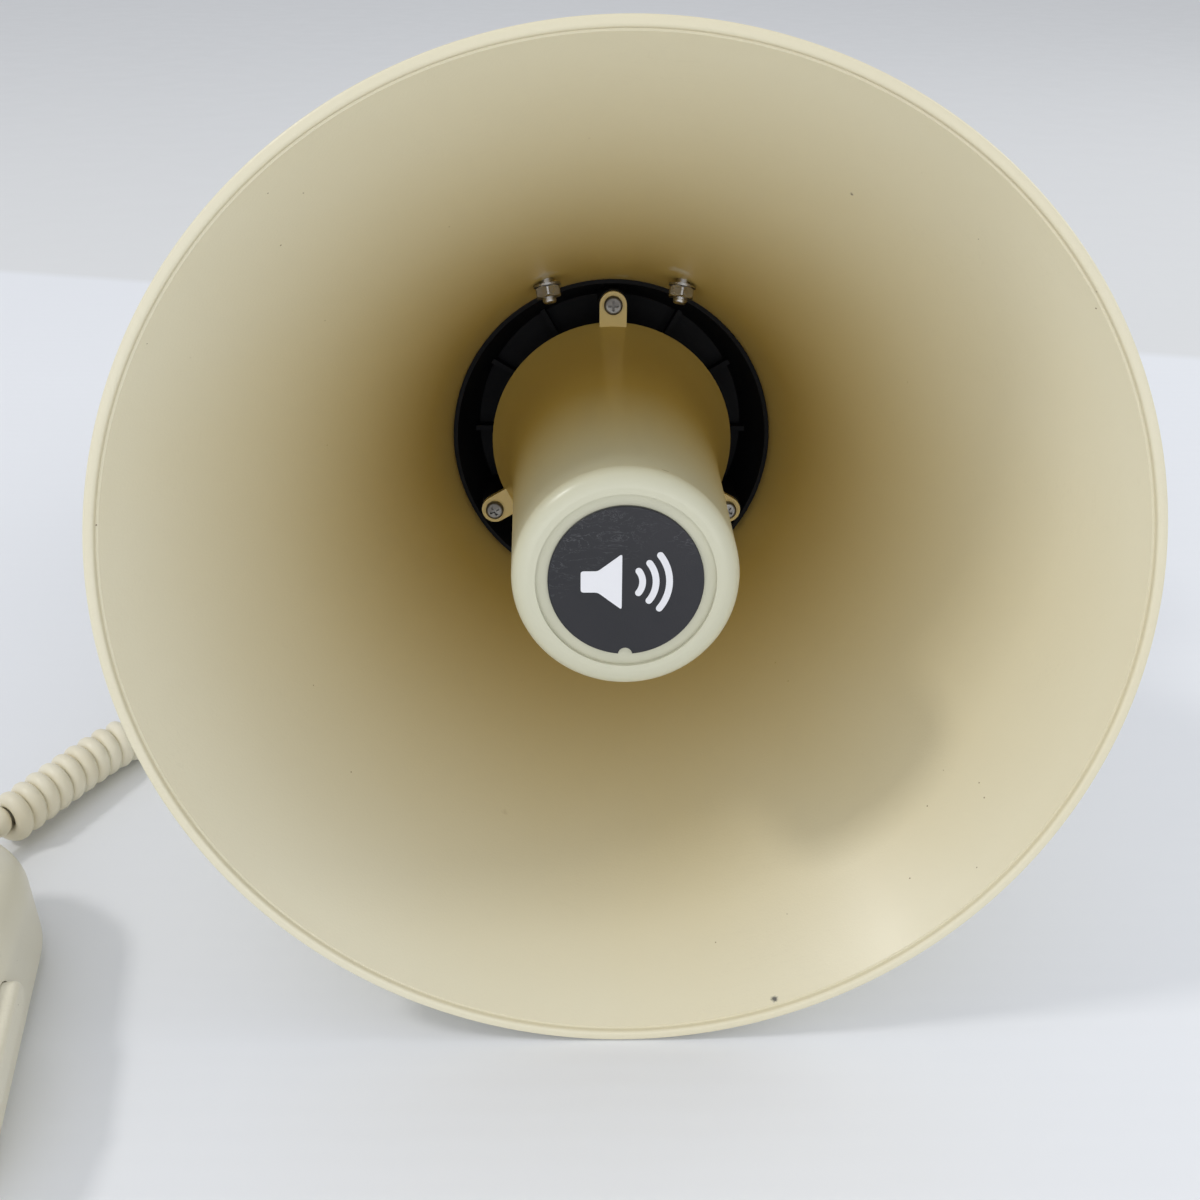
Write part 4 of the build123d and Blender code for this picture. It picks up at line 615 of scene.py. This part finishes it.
def roundCorner(corner, before, after, radius, steps=4):
    # points of an arc that rounds a corner between two straight stretches
    corner, before, after = (np.array(p, float) for p in (corner, before, after))
    toBefore = (before - corner) / np.linalg.norm(before - corner)
    toAfter = (after - corner) / np.linalg.norm(after - corner)
    start, end = corner + toBefore * radius, corner + toAfter * radius
    t = np.linspace(0, 1, steps)[:, None]
    return (1 - t) ** 2 * start + 2 * t * (1 - t) * corner + t ** 2 * end


def smoothStep(t):
    t = np.clip(t, 0, 1)
    return t * t * (3 - 2 * t)


def turnedSurface(profile, steps):
    # each (radius, y) of the profile is carried once round the horn's axis
    profile = np.asarray(profile)
    angle = np.linspace(0, 2 * np.pi, steps, endpoint=False)
    radius, y = profile[:, :1], profile[:, 1:]
    return hornPoint(radius * np.sin(angle), y + 0 * angle, radius * np.cos(angle))


# ---- bell

def bellProfile():
    # inside, lip and outside in turn; the outside is one wall further out, square to the flare
    throat = bell["neckBore"]
    mouthRadius = rimRadius - bell["lipWidth"] - bell["stepWidth"]
    y = np.linspace(bell["flareLength"], bell["lipStep"], bell["insideRings"])
    inner, growth = bellInner(y)
    outerY = np.linspace(bell["beadLength"] + bell["beadGap"], bell["flareLength"], bell["outsideRings"])
    outer = bellInner(outerY)[0]
    outer = outer + bell["wall"] * np.sqrt(1 + (growth * outer) ** 2)
    neckEnd = bell["flareLength"] + bell["neckLength"]
    lipInner = rimRadius - bell["lipWidth"]
    step = [lipInner, bell["lipStep"]]
    front = [lipInner, 0.0]
    edge = [rimRadius, 0.0]
    beadEnd = [rimRadius - bell["beadDraft"], bell["beadLength"]]
    return np.concatenate([
        [[throat, neckEnd]], np.stack([inner, y], -1),
        roundCorner(step, [mouthRadius, bell["lipStep"]], front, bell["stepSoft"], 3),
        roundCorner(front, step, edge, bell["soft"], 6), roundCorner(edge, front, beadEnd, bell["soft"], 6),
        roundCorner(beadEnd, edge, [outer[0], outerY[0]], bell["beadSoft"], 3), np.stack([outer, outerY], -1),
        [[throat + bell["wall"], neckEnd]]])


def markInside(obj):
    # the attribute "inside" is one where the surface faces the axis
    count = len(obj.data.vertices)
    points = np.empty(count * 3)
    normals = np.empty(count * 3)
    obj.data.vertices.foreach_get("co", points)
    obj.data.vertices.foreach_get("normal", normals)
    out = points.reshape(-1, 3) - mouth
    out = out - (out @ aft)[:, None] * aft
    facing = (out * normals.reshape(-1, 3)).sum(1) < 0
    inside = obj.data.attributes.new("inside", "FLOAT", "POINT")
    inside.data.foreach_set("value", facing.astype(np.float32))


def makeBell():
    profile = bellProfile()
    points = turnedSurface(profile, bell["around"])
    faces = gridFaces(len(profile), bell["around"], closeRows=True)
    obj = makePiece("bell", points, faces, bellFinish, "root")
    markInside(obj)
    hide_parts("horn_bell")
    return obj


makeBell()
print("bell made")

# ---- badge emblem: a loudspeaker with its sound

emblem = {
    "thickness": 0.00014, "sunk": 0.00004, "shift": -0.0021,
    "box": (-0.0080, -0.0042, 0.0025), "cone": (0.0012, 0.0066), "round": 0.0007,
    "waves": (0.0042, 0.0072, 0.0102), "waveWidth": 0.0015, "waveReach": 38.0, "waveFrom": 0.0016,
}


def raisedShape(name, outline, front, thickness, material, body):
    # an outline of (right, up) points on the face at depth `front`, raised towards the mouth
    outline = np.asarray(outline)
    count = len(outline)
    near = hornPoint(outline[:, 0], front - thickness, outline[:, 1])
    far = hornPoint(outline[:, 0], front, outline[:, 1])
    faces = gridFaces(2, count).tolist()
    faces += [list(range(count)), list(range(count, 2 * count))]
    return makePiece(name, np.concatenate([near, far]), faces, material, body)


def hornOutline():
    # box and cone of a loudspeaker seen from the side, its corners rounded
    start, neck, low = emblem["box"]
    end, high = emblem["cone"]
    corners = np.array([[start, -low], [neck, -low], [end, -high], [end, high], [neck, low], [start, low]])
    before, after = np.roll(corners, 1, axis=0), np.roll(corners, -1, axis=0)
    rounded = [roundCorner(c, b, a, emblem["round"], 6) for c, b, a in zip(corners, before, after)]
    return np.concatenate(rounded) + [emblem["shift"], 0]


def waveOutline(radius):
    # an arc outwards, a half circle round its end, the arc back and another half circle
    half = emblem["waveWidth"] / 2
    reach = math.radians(emblem["waveReach"])
    turn = np.linspace(-reach, reach, 32)
    cap = np.linspace(0, math.pi, 9)[1:-1]
    out = np.stack([np.cos(turn), np.sin(turn)], -1)
    across = np.array([math.cos(reach), math.sin(reach)])
    onward = np.array([-math.sin(reach), math.cos(reach)])
    end = radius * across + half * (np.cos(cap)[:, None] * across + np.sin(cap)[:, None] * onward)
    start = (end * [1, -1])[::-1]
    ring = np.concatenate([(radius + half) * out, end, (radius - half) * out[::-1], start])
    return ring + [emblem["waveFrom"] + emblem["shift"], 0]


def makeEmblem():
    face = alongHorn("badge_disc")[0] + emblem["sunk"]
    shapes = [("emblem_horn", hornOutline())]
    shapes += [(f"emblem_wave_{i + 1}", waveOutline(radius)) for i, radius in enumerate(emblem["waves"])]
    for name, outline in shapes:
        raisedShape(name, outline, face, emblem["thickness"], whiteInk, "root")


makeEmblem()
print("emblem made")

# ---- handle grip

grip = {
    "ribs": 22, "ribDepth": 0.0007, "ribFlatness": 0.6, "plainEnd": 0.10, "fade": 0.02, "endRoll": 0.0012,
    "squareness": 4.2, "wall": 0.0022, "along": 400, "around": 96,
}


def makeGrip():
    # a rounded square carried along the handle, a little smaller in every groove between the ribs
    local = (nodePoints("handle_grip") - mouth) @ np.stack([right, aft, up], -1)
    low, high = local.min(0), local.max(0)
    middle, half = (low + high) / 2, (high - low) / 2
    t = np.linspace(0, 1, grip["along"])
    ribbed = (smoothStep((t - grip["plainEnd"]) / grip["fade"])
              * smoothStep((1 - grip["plainEnd"] - t) / grip["fade"]))
    groove = grip["ribDepth"] * ribbed * (0.5 - 0.5 * np.cos(2 * np.pi * grip["ribs"] * t)) ** grip["ribFlatness"]
    roll = grip["endRoll"]
    rolled = roll * (1 - np.sqrt(1 - np.clip(1 - np.minimum(t, 1 - t) * 2 * half[1] / roll, 0, 1) ** 2))
    inset = np.concatenate([groove + rolled, np.full(2, grip["wall"])])
    y = np.concatenate([low[1] + t * 2 * half[1], [high[1], low[1]]])
    angle = np.linspace(0, 2 * np.pi, grip["around"], endpoint=False)
    power = 2 / grip["squareness"]
    x = np.sign(np.cos(angle)) * np.abs(np.cos(angle)) ** power
    z = np.sign(np.sin(angle)) * np.abs(np.sin(angle)) ** power
    points = hornPoint(middle[0] + (half[0] - inset)[:, None] * x, y[:, None] + 0 * x,
                       middle[2] + (half[2] - inset)[:, None] * z)
    obj = makePiece("ribbed_grip", points, gridFaces(len(y), grip["around"], closeRows=True), finishes["rubber"],
                    "root", 50.0)
    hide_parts("handle_grip")


makeGrip()
print("grip made")

# ---- curly cord

curlyCord = {
    "diameter": 0.005, "coilRadius": 0.00475, "pitch": 0.00512, "leadIn": 0.006, "perTurn": 26, "sides": 12,
    "coilStart": (-0.0626, -0.0827, 0.0696), "coilEnd": (-0.177, -0.235, 0.0087),
    "route": [(-0.0626, -0.0758, 0.0684), (-0.0626, -0.0827, 0.0696), (-0.0626, -0.0985, 0.0723),
              (-0.0665, -0.114, 0.0665), (-0.074, -0.127, 0.0525), (-0.0835, -0.138, 0.034),
              (-0.096, -0.1485, 0.0165), (-0.1125, -0.160, 0.008), (-0.134, -0.1735, 0.0073),
              (-0.155, -0.1905, 0.0074), (-0.1662, -0.2134, 0.0086), (-0.177, -0.235, 0.0087),
              (-0.1831, -0.2472, 0.0087), (-0.1803, -0.2623, 0.0087)],
}


def splinePoints(route):
    # the smooth line that a NURBS spline makes of the route
    curve = bpy.data.curves.new("route", "CURVE")
    curve.dimensions = "3D"
    spline = curve.splines.new("NURBS")
    spline.points.add(len(route) - 1)
    for point, place in zip(spline.points, route):
        point.co = (*place, 1.0)
    spline.order_u = 3
    spline.use_endpoint_u = True
    spline.resolution_u = 40
    holder = bpy.data.objects.new("route", curve)
    bpy.context.collection.objects.link(holder)
    mesh = bpy.data.meshes.new_from_object(holder)
    points = np.array([tuple(vertex.co) for vertex in mesh.vertices])
    bpy.data.objects.remove(holder)
    bpy.data.meshes.remove(mesh)
    bpy.data.curves.remove(curve)
    return points


def lineLengths(points):
    return np.concatenate([[0], np.cumsum(np.linalg.norm(np.diff(points, axis=0), axis=1))])


def resample(points, count):
    distance = lineLengths(points)
    at = np.linspace(0, distance[-1], count)
    return np.stack([np.interp(at, distance, points[:, k]) for k in range(3)], -1)


def steadyFrames(points):
    # a side and an upward direction carried along the line without twisting
    forward = np.gradient(points, axis=0)
    forward /= np.linalg.norm(forward, axis=1)[:, None]
    side = np.empty_like(points)
    start = np.cross(forward[0], (0, 0, 1.0))
    side[0] = start / np.linalg.norm(start)
    for i in range(1, len(points)):
        carried = side[i - 1] - forward[i] * (side[i - 1] @ forward[i])
        side[i] = carried / np.linalg.norm(carried)
    return forward, side, np.cross(forward, side)


def curlyPath():
    # a helix round the route: its radius swells from nothing over the lead-in and dies away at the end
    line = splinePoints(curlyCord["route"])
    total = lineLengths(line)[-1]
    coarse = resample(line, 1500)
    distance = lineLengths(coarse)
    start = distance[np.argmin(np.linalg.norm(coarse - curlyCord["coilStart"], axis=1))]
    end = distance[np.argmin(np.linalg.norm(coarse - curlyCord["coilEnd"], axis=1))]
    turns = round((end - start) / curlyCord["pitch"])
    count = int(turns * curlyCord["perTurn"] * total / (end - start))
    fine = resample(line, count)
    at = lineLengths(fine)
    forward, side, above = steadyFrames(fine)
    swell = smoothStep((at - start) / curlyCord["leadIn"]) * smoothStep((end - at) / curlyCord["leadIn"])
    angle = 2 * np.pi * turns * np.clip((at - start) / (end - start), 0, 1)
    radius = curlyCord["coilRadius"] * swell
    path = fine + radius[:, None] * (np.cos(angle)[:, None] * above + np.sin(angle)[:, None] * side)
    path[:, 2] = np.maximum(path[:, 2], curlyCord["diameter"] / 2)
    print("curly cord:", turns, "turns,", round(float(lineLengths(path)[-1]), 3), "m")
    return path


def tubeAlong(path, radius, sides):
    # a circle carried along the path, square to it
    forward, side, above = steadyFrames(path)
    angle = np.linspace(0, 2 * np.pi, sides, endpoint=False)[None, :, None]
    return path[:, None] + radius * (np.cos(angle) * side[:, None] + np.sin(angle) * above[:, None])


def makeCord():
    path = curlyPath()
    sides = curlyCord["sides"]
    points = tubeAlong(path, curlyCord["diameter"] / 2, sides)
    faces = gridFaces(len(path), sides).tolist()
    faces.append(list(range(sides)))
    faces.append(list(range(len(path) * sides - sides, len(path) * sides)))
    obj = makePiece("curly_cord", points, faces, finishes["cord_vinyl"], None, 60.0)
    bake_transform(obj)
    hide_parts("cord_tail_body", "cord_coil", "cord_tail_mic")
    return obj


makeCord()

# ---- table


def tableFinish():
    finish = Finish("tableTop")
    tree = finish.tree
    split = addNode(tree, "ShaderNodeSeparateXYZ")
    tree.links.new(finish.place, split.inputs[0])
    slope = math.tan(math.radians(table["edgeTurn"]))
    past = mathNode(tree, "SUBTRACT", split.outputs["Y"], mathNode(tree, "MULTIPLY", split.outputs["X"], slope))
    mask = rangeNode(tree, past, table["edgeAway"], table["edgeAway"] + 0.012)
    finish.feed("Base Color", mixNode(tree, mask, table["top"], table["beyond"]))
    finish.feed("Roughness", rangeNode(tree, noiseNode(tree, finish.place, 30.0, 3.0), 0.3, 0.7, 0.35, 0.45))
    ripple = addNode(tree, "ShaderNodeTexWave", wave_type="BANDS", bands_direction="Y")
    tree.links.new(finish.place, ripple.inputs["Vector"])
    ripple.inputs["Scale"].default_value = 45.0
    ripple.inputs["Distortion"].default_value = 1.5
    finish.bump(ripple.outputs["Fac"], 0.08, 0.0004)
    return finish.material


def makeTable():
    half = table["size"] / 2
    mesh = bpy.data.meshes.new("table")
    mesh.from_pydata([(-half, -half, 0), (half, -half, 0), (half, half, 0), (-half, half, 0)], [], [(0, 1, 2, 3)])
    mesh.materials.append(tableFinish())
    obj = bpy.data.objects.new("table", mesh)
    bpy.context.collection.objects.link(obj)


makeTable()
print("table made")
